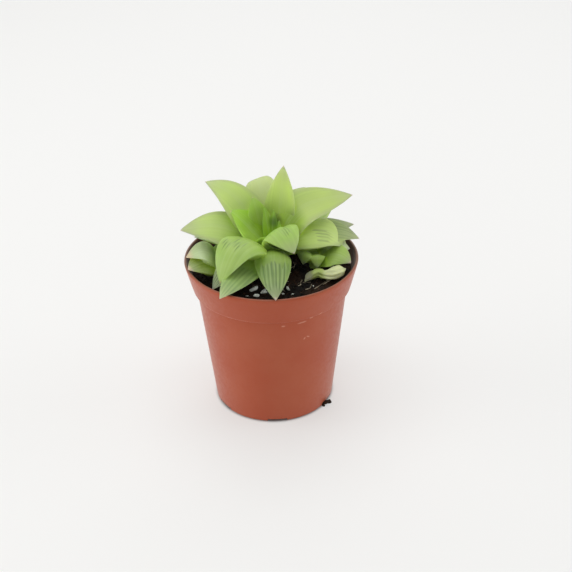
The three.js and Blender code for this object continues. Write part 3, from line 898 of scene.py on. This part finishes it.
def keep_looks(piece, leaf):
    """Keeps a leaf's tone, window lines and ageing on its points, where the leaf's finish reads them."""
    count = len(piece.data.vertices)
    tone = piece.data.color_attributes.new(name="tone", type="FLOAT_COLOR", domain="POINT")
    tone.data.foreach_set("color", colour(*TONES[leaf["tone"]]) * count)
    for name, values in (
        ("lines", [*leaf["lines"], leaf["stripes"]]),
        ("lanes", [*leaf["lanes"], leaf["dry"]]),
        ("ageing", [*leaf["deep"], leaf["grey"]]),
        ("shade", [leaf["cleft"], leaf["under"], leaf["waves"]]),
    ):
        kept = piece.data.attributes.new(name, "FLOAT_VECTOR", "POINT")
        kept.data.foreach_set("vector", values * count)
    edge = piece.data.attributes.new("edge", "FLOAT", "POINT")
    edge.data.foreach_set("value", [leaf["edge"]] * count)


def grow_leaf(pattern, leaf, stem, number):
    """Copies the straight leaf and bends the copy to its place, with its looks kept on its points."""
    piece = copy_of(pattern, f"leaf_{number}")
    points = bend_leaf(get_points(pattern), leaf, stem)
    for point in points:
        place = Vector(point) * SWAY_CLOSENESS + Vector((number * SWAY_APART, 0, 0))
        point += np.array(noise.noise_vector(place)) * SWAY_REACH
    set_points(piece, points * MM)
    keep_looks(piece, leaf)
    return piece


def make_stem(stem):
    outline = [
        (stem["radius"], stem["foot"]),
        (stem["radius"], stem["neck"]),
        (stem["top_radius"], stem["top"]),
    ]
    piece = lathe("stem", STEM_SIDES, [(radius * MM, height * MM) for radius, height in outline])
    piece.data.transform(Matrix.Translation((stem["x"] * MM, stem["y"] * MM, 0)))
    piece.data.uv_layers.new(name="leaf")
    keep_looks(piece, {**BLADE, "stripes": 0, "tone": "heart"})
    return piece


def make_head(name, node, slot, leaves, shared, stem, pattern, material):
    """A stem and its leaves, joined."""
    pieces = [make_stem(stem)]
    for number, leaf in enumerate(leaves):
        pieces.append(grow_leaf(pattern, {**BLADE, **shared, **leaf}, stem, number))
    head = smooth(join(pieces, name), HEAD_SMOOTH)
    return finish_piece(head, slot, material, node)


DEEP_BASE = colour(150, 188, 34)
PALE_CLOUD = colour(196, 214, 130)
GREY_END = colour(154, 158, 134)
CLEFT = colour(44, 68, 12)
WINDOW = colour(126, 148, 100)
WINDOW_LINE = colour(74, 100, 58)
VEIN = colour(188, 206, 148)
MARGIN = colour(196, 208, 154)
GREY_MARGIN = colour(150, 152, 128)
DRY_POINT = colour(214, 190, 166)
# How far the deep colour takes over from the leaf's own tone at its base
BASE_DEPTH = 0.75
# Fades on a leaf: its end's greying, its paler clouds, the shade at its base and under its keel, its
# paler and its greyed margins, and its dry point
GREYING = (0.7, 1, 0, 0.65)
CLOUDING = (0.35, 0.7, 0, 0.22)
CLEFT_FADE = (-0.05, 0.02, 0.92, 0)
KEEL_FADE = (0.03, 0.25)
PALE_MARGIN = (0.86, 1, 0, 0.12)
GREYED_MARGIN = (0.6, 1, 0, 0.46)
DRYING = (0, 0.8, 0, 0.75)
# Where leaves shade each other most: the middle of each place, how far off its shade is full and
# gone, and its colour and strength
SHADES = [
    [(1.2 * MM, 3.6 * MM, 61 * MM), (0.7 * MM, 3.1 * MM), colour(34, 74, 2), 0.84],
    [(7.4 * MM, 2.6 * MM, 62.2 * MM), (0.2 * MM, 5 * MM), colour(98, 130, 20), 0.62],
]
# The window lines: how far they run side by side rather than fanned, how often they wander across and
# along a leaf, how often they bunch across it and by their number, how far they wander, and how uneven
# their widths and their ends are
ABREAST = 0.7
WANDERS = (15, 2)
BUNCHES = (14, 0.37)
WANDER_REACH = 5
UNEVEN_WIDTHS = 1.6
UNEVEN_ENDS = 0.3
# How strong the window, its lines and its veins are
WINDOW_STRENGTH = 0.3
LINE_STRENGTH = 0.58
VEIN_STRENGTH = 0.2
# Fades of the faint streaks on all of a leaf, of the window's start, end and sides, of the lines' uneven
# strength, and of the parts of a wave that are a dark line and a pale vein
PALE_STREAKS = (0, 0.2, 0, 0.16)
DARK_STREAKS = (-0.2, 0, 0.12, 0)
WINDOW_START = (-0.01, 0.02)
WINDOW_END = (-0.05, 0)
WINDOW_SIDE = (0, 0.08)
LINE_UNEVEN = (0.25, 0.6, 0.45, 1)
LINE_PART = (0, 0.6)
VEIN_PART = (-0.95, -0.5, 1, 0)


def age_flesh(f, along):
    """A leaf's own tone, deep yellow-green at the base and greyer at the end, in faint clouds."""
    own = f.kept("tone")["Color"]
    deep_from, deep_to, grey = f.kept_three("ageing")
    tint = f.mix(f.between(along, deep_from, deep_to), f.mix(BASE_DEPTH, own, DEEP_BASE), own)
    tint = f.mix(f.times(f.between(along, *GREYING), grey), tint, GREY_END)
    return f.mix(f.between(f.noise(130, 2), *CLOUDING), tint, PALE_CLOUD)


def shade_flesh(f, along, tint):
    """Deepens the heart and the clefts, where the light hardly reaches. A front leaf's base is nearly
    black under the leaves above it, and so are some undersides."""
    for middle, reach, shade, strength in SHADES:
        tint = f.mix(f.between(f.distance_from(middle), *reach, strength, 0), tint, shade)
    cleft, under, _ = f.kept_three("shade")
    tint = f.mix(f.between(f.minus(along, cleft), *CLEFT_FADE), tint, CLEFT)
    below = f.between(f.kept("keel")["Fac"], *KEEL_FADE)
    return f.mix(f.times(below, under), tint, CLEFT)


def draw_windows(f, across, along, tint):
    """Draws the window lines, dark streaks of uneven length between paler veins, and faint streaks all
    over. Gives the tint, and how clear the lines are."""
    line_from, line_to, stripes = f.kept_three("lines")
    lane_from, lane_to, _ = f.kept_three("lanes")
    _, _, waves = f.kept_three("shade")
    aside = f.math("MULTIPLY_ADD", f.kept("aside")["Fac"], 0.5, 0.5)
    spread = f.plus(f.times(aside, ABREAST), f.times(across, 1 - ABREAST))
    wander = f.noise(1, 1, f.together(f.times(spread, WANDERS[0]), f.times(along, WANDERS[1])))
    bunch = f.noise(1, 1, f.together(f.times(spread, BUNCHES[0]), f.times(waves, BUNCHES[1])))
    lane = f.minus(bunch, 0.5)
    phase = f.plus(f.times(spread, f.times(waves, 2)), f.times(wander, WANDER_REACH))
    wave = f.plus(f.math("SINE", phase), f.times(lane, UNEVEN_WIDTHS))
    tint = f.mix(f.between(lane, *PALE_STREAKS), tint, VEIN)
    tint = f.mix(f.between(lane, *DARK_STREAKS), tint, WINDOW)
    reach = f.plus(along, f.times(lane, UNEVEN_ENDS))
    begun = f.between(f.minus(reach, line_from), *WINDOW_START)
    over = f.between(f.minus(reach, line_to), *WINDOW_END)
    past_first = f.between(f.minus(across, lane_from), *WINDOW_SIDE)
    before_last = f.between(f.minus(lane_to, across), *WINDOW_SIDE)
    window = f.times(begun, f.minus(1, over), f.times(past_first, before_last), stripes)
    uneven = f.between(wander, *LINE_UNEVEN)
    clear = f.times(f.between(wave, *LINE_PART), f.times(window, uneven))
    veins = f.times(f.between(wave, *VEIN_PART), window)
    tint = f.mix(f.times(window, WINDOW_STRENGTH), tint, WINDOW)
    tint = f.mix(f.times(clear, LINE_STRENGTH), tint, WINDOW_LINE)
    tint = f.mix(f.times(veins, VEIN_STRENGTH), tint, VEIN)
    return tint, clear


def wear_edges(f, across, along, tint):
    """A faintly paler margin, greyer on the leaves that light comes through, and a dry pinkish point."""
    margin = f.size_of(f.math("MULTIPLY_ADD", across, 2, -1))
    tint = f.mix(f.between(margin, *PALE_MARGIN), tint, MARGIN)
    greyed = f.times(f.between(margin, *GREYED_MARGIN), f.kept("edge")["Fac"])
    tint = f.mix(greyed, tint, GREY_MARGIN)
    dry_length = f.kept_three("lanes")[2]
    dry = f.math("DIVIDE", f.plus(f.minus(along, 1), dry_length), dry_length)
    return f.mix(f.between(dry, *DRYING), tint, DRY_POINT)


def leaf_flesh():
    """Waxy, water-filled leaf: deep green low down, paler and greyer to the tip, with window lines."""
    f = Finish("leaf flesh")
    leaf_map = f.node("ShaderNodeUVMap")
    leaf_map.uv_map = "leaf"
    across, along, _ = f.apart(leaf_map.outputs[0])
    tint = shade_flesh(f, along, age_flesh(f, along))
    tint, clear = draw_windows(f, across, along, tint)
    f.shade(Base_Color=wear_edges(f, across, along, tint))
    f.shade(Roughness=f.between(f.noise(600, 2), 0.3, 0.7, 0.42, 0.54))
    f.shader.subsurface_method = "BURLEY"
    f.shade(Subsurface_Weight=0.8, Subsurface_Radius=(1.0, 1.0, 0.4), Subsurface_Scale=3 * MM)
    f.shade(Specular_IOR_Level=0.35)
    f.bump(f.plus(f.noise(700, 2), f.times(clear, -1.2)), 0.06 * MM, 0.35)
    return f.material


# The shed leaf

SHED_LINE = [
    [10.2, -11.6, 47.7], [11.1, -10.9, 48.4], [12.4, -9.9, 49.1], [14.4, -9.2, 49.5], [16.2, -9.6, 49.1],
    [18.1, -9.8, 49.2], [20, -9.2, 49.5], [21.8, -8.4, 49.8], [23.1, -7.7, 49.9],
]
SHED_HALF_WIDTHS = [0.7, 1.1, 1.6, 1.7, 1.7, 2.2, 2.2, 1.8, 0.9]
SHED_FLATNESS = 0.7
SHED_SIDES = 48
SHED_STEPS = 72
SHED_SMOOTH = 50
# How fast it widens from its stalk end and from its broad end, and from what share
STALK_END = (5, 0.2)
BROAD_END = (6, 0.15)
# The long furrows in its skin: [depth as a share, how many round it, how far they wind along it]
FURROWS = [[0.1, 3, 5], [0.06, 7, -6], [0.05, 0, 19]]
# Its crumpling, broad and fine: (closeness in 1/mm, depth in mm)
CRUMPLES = (0.6, 0.2)
WRINKLES = (2, 0.05)
# The deep fold in its broad end: its share of the length, its angle round the leaf, its half sizes
# and its depth
FOLD_AT = 0.72
FOLD_ANGLE = -0.9
FOLD_LENGTH = 0.08
FOLD_WIDTH = 0.3
FOLD_DEPTH = 0.5
# How far off a line its way is measured, as a share of its length
LOOK_AHEAD = 0.02


def through(points, shares):
    """Points of a smooth line through a list of points, at shares of its length."""
    points = np.array(points, float)
    last = len(points) - 1
    place = np.clip(shares, 0, 1) * last
    i = np.minimum(place.astype(int), last - 1)
    u = (place - i)[:, None]
    a, b, c, d = (points[np.clip(i + step, 0, last)] for step in (-1, 0, 1, 2))
    square = (2 * a - 5 * b + 4 * c - d) * u ** 2
    cube = (3 * b - a - 3 * c + d) * u ** 3
    return 0.5 * (2 * b + (c - a) * u + square + cube)


def model_tube(sides, steps):
    """The straight tube that the husk and the fibres are laid from: 1 in radius and 1 long up Z."""
    return lathe("tube_pattern", sides, [(1, i / steps) for i in range(steps + 1)])


def lay_tube(pattern, name, line, half_width):
    """Copies the straight tube and lays it along a line, in millimetres. half_width gives how far it
    reaches aside and up, at shares of its length and angles round it."""
    tube = copy_of(pattern, name)
    points = get_points(tube)
    t = points[:, 2]
    before = through(line, np.maximum(t - LOOK_AHEAD, 0))
    ahead = unit(through(line, np.minimum(t + LOOK_AHEAD, 1)) - before)
    side = unit(np.cross([0, 0, 1.0], ahead))
    above = np.cross(ahead, side)
    aside, upward = half_width(t, np.arctan2(points[:, 1], points[:, 0]))
    across = side * (points[:, 0] * aside)[:, None]
    raised = above * (points[:, 1] * upward)[:, None]
    set_points(tube, (through(line, t) + across + raised) * MM)
    return tube


def shed_half_width(t, angle):
    widths = through([[width] for width in SHED_HALF_WIDTHS], t)[:, 0]
    stalk_end = np.minimum(1, STALK_END[0] * t + STALK_END[1])
    broad_end = np.minimum(1, BROAD_END[0] * (1 - t) + BROAD_END[1])
    skin = 1
    for depth, around, along in FURROWS:
        skin = skin + depth * np.sin(around * angle + along * t)
    off = -((t - FOLD_AT) / FOLD_LENGTH) ** 2 - ((angle - FOLD_ANGLE) / FOLD_WIDTH) ** 2
    skin = skin - FOLD_DEPTH * np.exp(off)
    reach = widths * (stalk_end * broad_end) * skin
    return reach, reach * SHED_FLATNESS


def waver(place, closeness, depth):
    return noise.noise_vector(place * closeness) * depth


def make_shed_leaf(material):
    """A dried leaf that has shrunk to a bent, folded husk, thin at the end that it broke off at."""
    pattern = model_tube(SHED_SIDES, SHED_STEPS)
    leaf = lay_tube(pattern, "shed_leaf", SHED_LINE, shed_half_width)
    bpy.data.objects.remove(pattern)
    points = get_points(leaf)
    for point in points:
        place = Vector(point / MM)
        point += np.array(waver(place, *CRUMPLES) + waver(place, *WRINKLES)) * MM
    set_points(leaf, points)
    smooth(leaf, SHED_SMOOTH)
    return finish_piece(leaf, "dry_leaf", material, "shrivelled_leaf")


HUSK_YELLOW = colour(198, 209, 142)
HUSK_CREAM = colour(228, 232, 184)
HUSK_GREY = colour(150, 152, 122)
HUSK_GREEN = colour(166, 184, 100)
# Where, from left to right, its broken end turns from grey to green, and its skin from green to cream
GREY_TO_GREEN = (11.5 * MM, 13.5 * MM)
GREEN_TO_CREAM = (15 * MM, 17.5 * MM)


def dry_flesh():
    f = Finish("shrivelled leaf")
    x, _, _ = f.apart(f.place())
    cream = f.mix(f.noise(300, 3), HUSK_YELLOW, HUSK_CREAM)
    green = f.mix(f.between(x, *GREY_TO_GREEN), HUSK_GREY, HUSK_GREEN)
    tint = f.mix(f.between(x, *GREEN_TO_CREAM), green, cream)
    f.shade(Base_Color=tint, Roughness=0.55, Subsurface_Weight=0.3)
    f.shade(Subsurface_Radius=(1.0, 0.9, 0.4), Subsurface_Scale=1.0 * MM)
    f.bump(f.noise(900, 3, stretch=(0.3, 1, 1)), 0.25 * MM, 0.7)
    return f.material


# Chips, crumbs and other loose matter

# A lump broken from a ball: how many planes break it, how far out they may lie, how far out it may
# reach, and how rough and grainy its faces are
BREAKS = 11
BREAK_FURTHEST = 0.5
LUMP_REACH = 0.62
LUMP_ROUGHNESS = 0.08
LUMP_GRAIN = 5
# Below this a plane faces away from a point, and leaves it where it is
FACING_LEAST = 0.05
FAR = 9

# The larger chips' length and width in millimetres, and their turn in degrees
CHIPS = [[3.6, 1.5, 53], [2, 1.2, 5], [1.9, 1.4, 70], [2.6, 1, -68], [1.3, 1, 0]]
CHIP_FLATNESS = 0.7
CHIP_LEAST = 0.3
CHIP_SMOOTH = 50
# Crumbs all over the soil, now and then a large one. A pair is the least and the most, and the last
# four are shares of a crumb's radius.
CRUMB_SEED = 5
CRUMBS = 700
CRUMB_REACH = 23.6
CRUMB_RADIUS = (0.25, 0.75)
LARGER = 1.6
LARGE_CHANCE = 0.08
CRUMB_TURN = 6.3
CRUMB_KNOBS = (0.7, 1.15)
CRUMB_WIDTH = (0.6, 1)
CRUMB_HEIGHT = (0.5, 0.9)
CRUMB_LIFT = 0.15
# Flakes in front: [x, y, length, width, turn in degrees], in millimetres
FLAKES = [
    [-3, -15.2, 1.6, 1, 80], [-1.9, -17, 1.5, 1, 20], [-7.6, -17.4, 1.4, 0.8, -10],
    [3.4, -16.6, 1.6, 1, 40], [6, -17.4, 1.1, 0.7, -20],
]
FLAKE_SEED = 21
LOOSE_FLAKES = 5
FLAKE_REACH = 23
FLAKE_LENGTH = (0.7, 1.7)
FLAKE_WIDTH = (0.4, 0.9)
FLAKE_TILT = 0.4
FLAKE_LEAST = 0.22
FLAKE_FLATNESS = 0.6
FLAKE_LIFT = 0.25
# Peat at the right drain slot: [x, y, length, width, turn in degrees], in millimetres
DRAIN_CRUMBS = [[16.8, -10.8, 2.6, 2.1, 30], [18, -9.9, 1.9, 1.5, 0], [15.8, -11.6, 1.4, 1.1, -40]]
DRAIN_CRUMB_SEED = 3
DRAIN_CRUMB_LEAST = 0.25
DRAIN_CRUMB_FLATNESS = 0.8
LUMP_SMOOTH = 35
# Long pale fibres in front: each a list of [x, y] in millimetres
LONG_FIBRES = [
    [[13, -14.8], [15, -12.3], [17.4, -9.8], [20, -7.6], [21.8, -5.8]],
    [[15.6, -13], [18.2, -10.6], [20.7, -8]],
    [[8, -13.4], [8.9, -12.6], [8.7, -11.4], [9.4, -10.4]],
    [[10.2, -15.2], [11.6, -14.2], [12.2, -12.8]],
]
LONG_FIBRE_RADIUS = 0.12
LONG_FIBRE_LIFT = 0.4
# The short ones: they start within a reach, wander step by step and turn back at a limit
FIBRE_SEED = 9
FIBRES = 18
FIBRE_REACH = 22
FIBRE_LIMIT = 23.8
FIBRE_DRAW_IN = 0.92
FIBRE_POINTS = 5
FIBRE_STEP = (0.5, 1.2)
FIBRE_SWING = 0.4
FIBRE_RADIUS = (0.04, 0.08)
FIBRE_LIFT = 0.25
FIBRE_SIDES = 5
FIBRE_RINGS = 14


def broken(points, rng, least):
    """Breaks a ball's points down to a lump with flat faces, by planes at random turns."""
    ways = unit(np.array([[rng.gauss(0, 1) for _ in range(3)] for _ in range(BREAKS)]))
    distances = np.array([rng.uniform(least, BREAK_FURTHEST) for _ in range(BREAKS)])
    outward = unit(points)
    facing = outward @ ways.T
    reach = np.where(facing > FACING_LEAST, distances / np.maximum(facing, FACING_LEAST), FAR).min(1)
    reach = np.minimum(reach, LUMP_REACH)
    rough = np.array([noise.noise(Vector(way) * LUMP_GRAIN) for way in outward])
    return outward * (reach * (1 + LUMP_ROUGHNESS * rough))[:, None]


def make_chip(node, number, material):
    """A crumbly perlite chip, where the CAD one lies."""
    low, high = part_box(node)
    length, width, turn = CHIPS[number - 1]
    chip = model_ball(4)
    points = broken(get_points(chip), random.Random(number), CHIP_LEAST)
    span = points.max(0) - points.min(0)
    middle = (points.max(0) + points.min(0)) / 2
    size = np.array([length, width, width * CHIP_FLATNESS]) * MM
    facing = np.array(turned(turn))
    set_points(chip, (points - middle) / span * size @ facing.T + np.array((low + high) / 2))
    smooth(named(chip, f"chip_{number}"), CHIP_SMOOTH)
    return finish_piece(chip, "perlite", material, node)


def top_place(rng, reach):
    """A place on the soil's top, evenly drawn."""
    angle = rng.uniform(0, 2 * math.pi)
    radius = reach * math.sqrt(rng.random())
    return radius * math.cos(angle), radius * math.sin(angle)


def strew(name, pattern, shapes):
    """Copies a pattern for each list of points, in millimetres, and joins the copies."""
    pieces = []
    for i, points in enumerate(shapes):
        copy = copy_of(pattern, f"{name}_{i}")
        set_points(copy, points * MM)
        pieces.append(copy)
    bpy.data.objects.remove(pattern)
    return join(pieces, name)


def make_crumbs(material):
    """Loose crumbs of peat, each a knobbly ball with few faces."""
    rng = random.Random(CRUMB_SEED)
    pattern = model_ball(1, 1)
    ball = get_points(pattern)
    shapes = []
    for _ in range(CRUMBS):
        x, y = top_place(rng, CRUMB_REACH)
        size = rng.uniform(*CRUMB_RADIUS) * (LARGER if rng.random() < LARGE_CHANCE else 1)
        angle = rng.uniform(0, CRUMB_TURN)
        axis = Vector((rng.random(), rng.random(), rng.random()))
        turn = np.array(Matrix.Rotation(angle, 3, axis))
        knobs = np.array([rng.uniform(*CRUMB_KNOBS) for _ in ball])[:, None]
        shares = [1, rng.uniform(*CRUMB_WIDTH), rng.uniform(*CRUMB_HEIGHT)]
        points = (ball * knobs * shares) @ turn.T * size
        points += [x, y, crumb_height(x, y) + CRUMB_LIFT * size]
        shapes.append(points)
    return finish_piece(strew("peat_crumbs", pattern, shapes), "soil", material)


def make_drain_crumbs(material):
    """Peat washed out through a drain slot, lying against the foot."""
    rng = random.Random(DRAIN_CRUMB_SEED)
    pattern = model_ball(3)
    ball = get_points(pattern)
    shapes = []
    for x, y, length, width, turn in DRAIN_CRUMBS:
        size = [length, width, DRAIN_CRUMB_FLATNESS * width]
        points = broken(ball, rng, DRAIN_CRUMB_LEAST) * size @ np.array(turned(turn)).T
        points += [x, y, -points[:, 2].min()]
        shapes.append(points)
    crumbs = smooth(strew("drain_crumbs", pattern, shapes), LUMP_SMOOTH)
    return finish_piece(crumbs, "soil", material)


def make_flakes(material):
    """Bits of perlite and bleached leaf: a few placed in front, and more strewn by chance."""
    rng = random.Random(FLAKE_SEED)
    pattern = model_ball(3)
    ball = get_points(pattern)
    places = list(FLAKES)
    for _ in range(LOOSE_FLAKES):
        x, y = top_place(rng, FLAKE_REACH)
        size = [rng.uniform(*FLAKE_LENGTH), rng.uniform(*FLAKE_WIDTH)]
        places.append([x, y, *size, rng.uniform(0, 180)])
    shapes = []
    for x, y, length, width, turn in places:
        points = broken(ball, rng, FLAKE_LEAST) * [length, width, FLAKE_FLATNESS * width]
        facing = turned(turn) @ Matrix.Rotation(rng.uniform(-FLAKE_TILT, FLAKE_TILT), 3, "Y")
        middle = [x, y, crumb_height(x, y) + FLAKE_LIFT * width]
        shapes.append(points @ np.array(facing).T + middle)
    flakes = smooth(strew("pale_flakes", pattern, shapes), LUMP_SMOOTH)
    return finish_piece(flakes, "perlite", material)


def make_fibres(material):
    """Pale plant fibres lying on the soil: a few long ones in front, and short ones strewn by chance."""
    rng = random.Random(FIBRE_SEED)
    pattern = model_tube(FIBRE_SIDES, FIBRE_RINGS)
    pieces = []

    def lay_fibre(name, line, radius):
        pieces.append(lay_tube(pattern, name, line, lambda t, angle: (radius, radius)))

    for i, places in enumerate(LONG_FIBRES):
        line = [[x, y, crumb_height(x, y) + LONG_FIBRE_LIFT] for x, y in places]
        lay_fibre(f"long_fibre_{i}", line, LONG_FIBRE_RADIUS)
    for i in range(FIBRES):
        x, y = top_place(rng, FIBRE_REACH)
        heading = rng.uniform(0, 2 * math.pi)
        line = []
        for _ in range(FIBRE_POINTS):
            line.append([x, y, crumb_height(x, y) + FIBRE_LIFT])
            step = rng.uniform(*FIBRE_STEP)
            heading += rng.uniform(-FIBRE_SWING, FIBRE_SWING)
            x, y = x + step * math.cos(heading), y + step * math.sin(heading)
            if math.hypot(x, y) > FIBRE_LIMIT:
                heading += math.pi / 2
                x, y = x * FIBRE_DRAW_IN, y * FIBRE_DRAW_IN
        lay_fibre(f"fibre_{i}", line, rng.uniform(*FIBRE_RADIUS))
    bpy.data.objects.remove(pattern)
    return finish_piece(join(pieces, "peat_fibres"), "soil", material)


PERLITE_WHITE = colour(250, 253, 244)
PERLITE_SHADED = colour(230, 240, 226)
PERLITE_PIT = colour(104, 128, 122)
FIBRE_DARK = colour(92, 80, 62)
FIBRE_PALE = colour(198, 188, 160)
ROOT_PALE = colour(214, 196, 152)
ROOT_BROWN = colour(168, 140, 98)


def white_mineral():
    f = Finish("perlite")
    tint = f.mix(f.between(f.noise(1200, 3), 0.4, 0.65), PERLITE_WHITE, PERLITE_SHADED)
    tint = f.mix(f.between(f.noise(420, 1), 0.52, 0.58, 0, 0.25), tint, PERLITE_PIT)
    f.shade(Base_Color=tint, Roughness=0.85, Specular_IOR_Level=0.2)
    f.bump(f.noise(2600, 3), 0.15 * MM, 0.6)
    return f.material


def fibre_bast():
    f = Finish("dry fibre")
    tint = f.mix(f.between(f.noise(220, 2), 0.3, 0.6), FIBRE_DARK, FIBRE_PALE)
    f.shade(Base_Color=tint, Roughness=0.8)
    return f.material


def dress_roots():
    """Gives the hidden roots their finish. Their CAD shape is shown as it is."""
    f = Finish("pale root")
    f.shade(Base_Color=f.mix(f.noise(300), ROOT_PALE, ROOT_BROWN))
    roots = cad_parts["main_roots"]
    roots.data.materials.clear()
    roots.data.materials.append(f.material)


# The floor and the light

FLOOR_SIZE = 6
FLOOR_COLOUR = (0.44, 0.44, 0.437, 1)
# The floor glows a little, painted light that softens the shadows on it, but not under the pot, where the
# missing glow is a painted contact shadow
GLOW_COLOUR = (1, 1, 0.98, 1)
PAINTED_FLOOR_GLOW = 0.46
CONTACT_SHADOW_FADE = (18.8 * MM, 20.3 * MM)
SKY = 0.36
LIGHT_AIM = Vector((0, 0, 0.04))
# Each light: [name, place, width, watts, colour]
LIGHTS = [
    ["overhead", (-0.1, 0.05, 0.8), 0.9, 3.0, (1, 0.99, 0.98)],
    ["front", (-0.1, -0.7, 0.45), 0.6, 0.75, (1, 1, 0.99)],
    ["left", (-0.65, 0.0, 0.2), 0.5, 1.6, (1, 0.99, 0.97)],
    ["right", (0.65, 0.05, 0.2), 0.5, 1.25, (0.98, 0.99, 1)],
    ["back", (0.05, 0.6, 0.5), 0.8, 1.3, (1, 1, 1)],
]


def build_stage():
    start_clear()
    bpy.ops.mesh.primitive_plane_add(size=FLOOR_SIZE)
    floor = named(bpy.context.object, "floor")
    f = Finish("floor paper")
    f.shade(Base_Color=FLOOR_COLOUR, Roughness=0.7, Specular_IOR_Level=0.1)
    f.shade(Emission_Color=GLOW_COLOUR)
    # Painted light: the floor glows everywhere but under the pot, which leaves a painted contact shadow
    f.shade(Emission_Strength=f.between(f.distance_from((0, 0, 0)), *CONTACT_SHADOW_FADE, 0, PAINTED_FLOOR_GLOW))
    floor.data.materials.append(f.material)


def light_scene():
    world = bpy.data.worlds.new("studio")
    world.use_nodes = True
    sky = world.node_tree.nodes["Background"]
    sky.inputs["Color"].default_value = (1, 1, 1, 1)
    sky.inputs["Strength"].default_value = SKY
    bpy.context.scene.world = world
    bpy.context.scene.view_settings.view_transform = "Standard"
    for name, place, width, watts, tint in LIGHTS:
        lamp = bpy.data.lights.new(name, "AREA")
        lamp.shape = "DISK"
        lamp.size = width
        lamp.energy = watts
        lamp.color = tint
        light = bpy.data.objects.new(name, lamp)
        light.location = place
        light.rotation_euler = (LIGHT_AIM - Vector(place)).to_track_quat("-Z", "Y").to_euler()
        bpy.context.scene.collection.objects.link(light)


def main():
    noise.seed_set(SWAY_SEED)
    place_camera()
    build_stage()
    light_scene()
    make_pot(pot_plastic())
    soil_finish = peat()
    make_soil(soil_finish)
    make_crumbs(soil_finish)
    make_drain_crumbs(soil_finish)
    make_fibres(fibre_bast())
    flesh = leaf_flesh()
    pattern = model_leaf()
    lay_leaf_map(pattern)
    for head in HEADS:
        make_head(*head, pattern, flesh)
    bpy.data.objects.remove(pattern)
    make_shed_leaf(dry_flesh())
    mineral = white_mineral()
    make_flakes(mineral)
    for number in range(1, len(CHIPS) + 1):
        make_chip(f"perlite_{number}", number, mineral)
    dress_roots()


main()
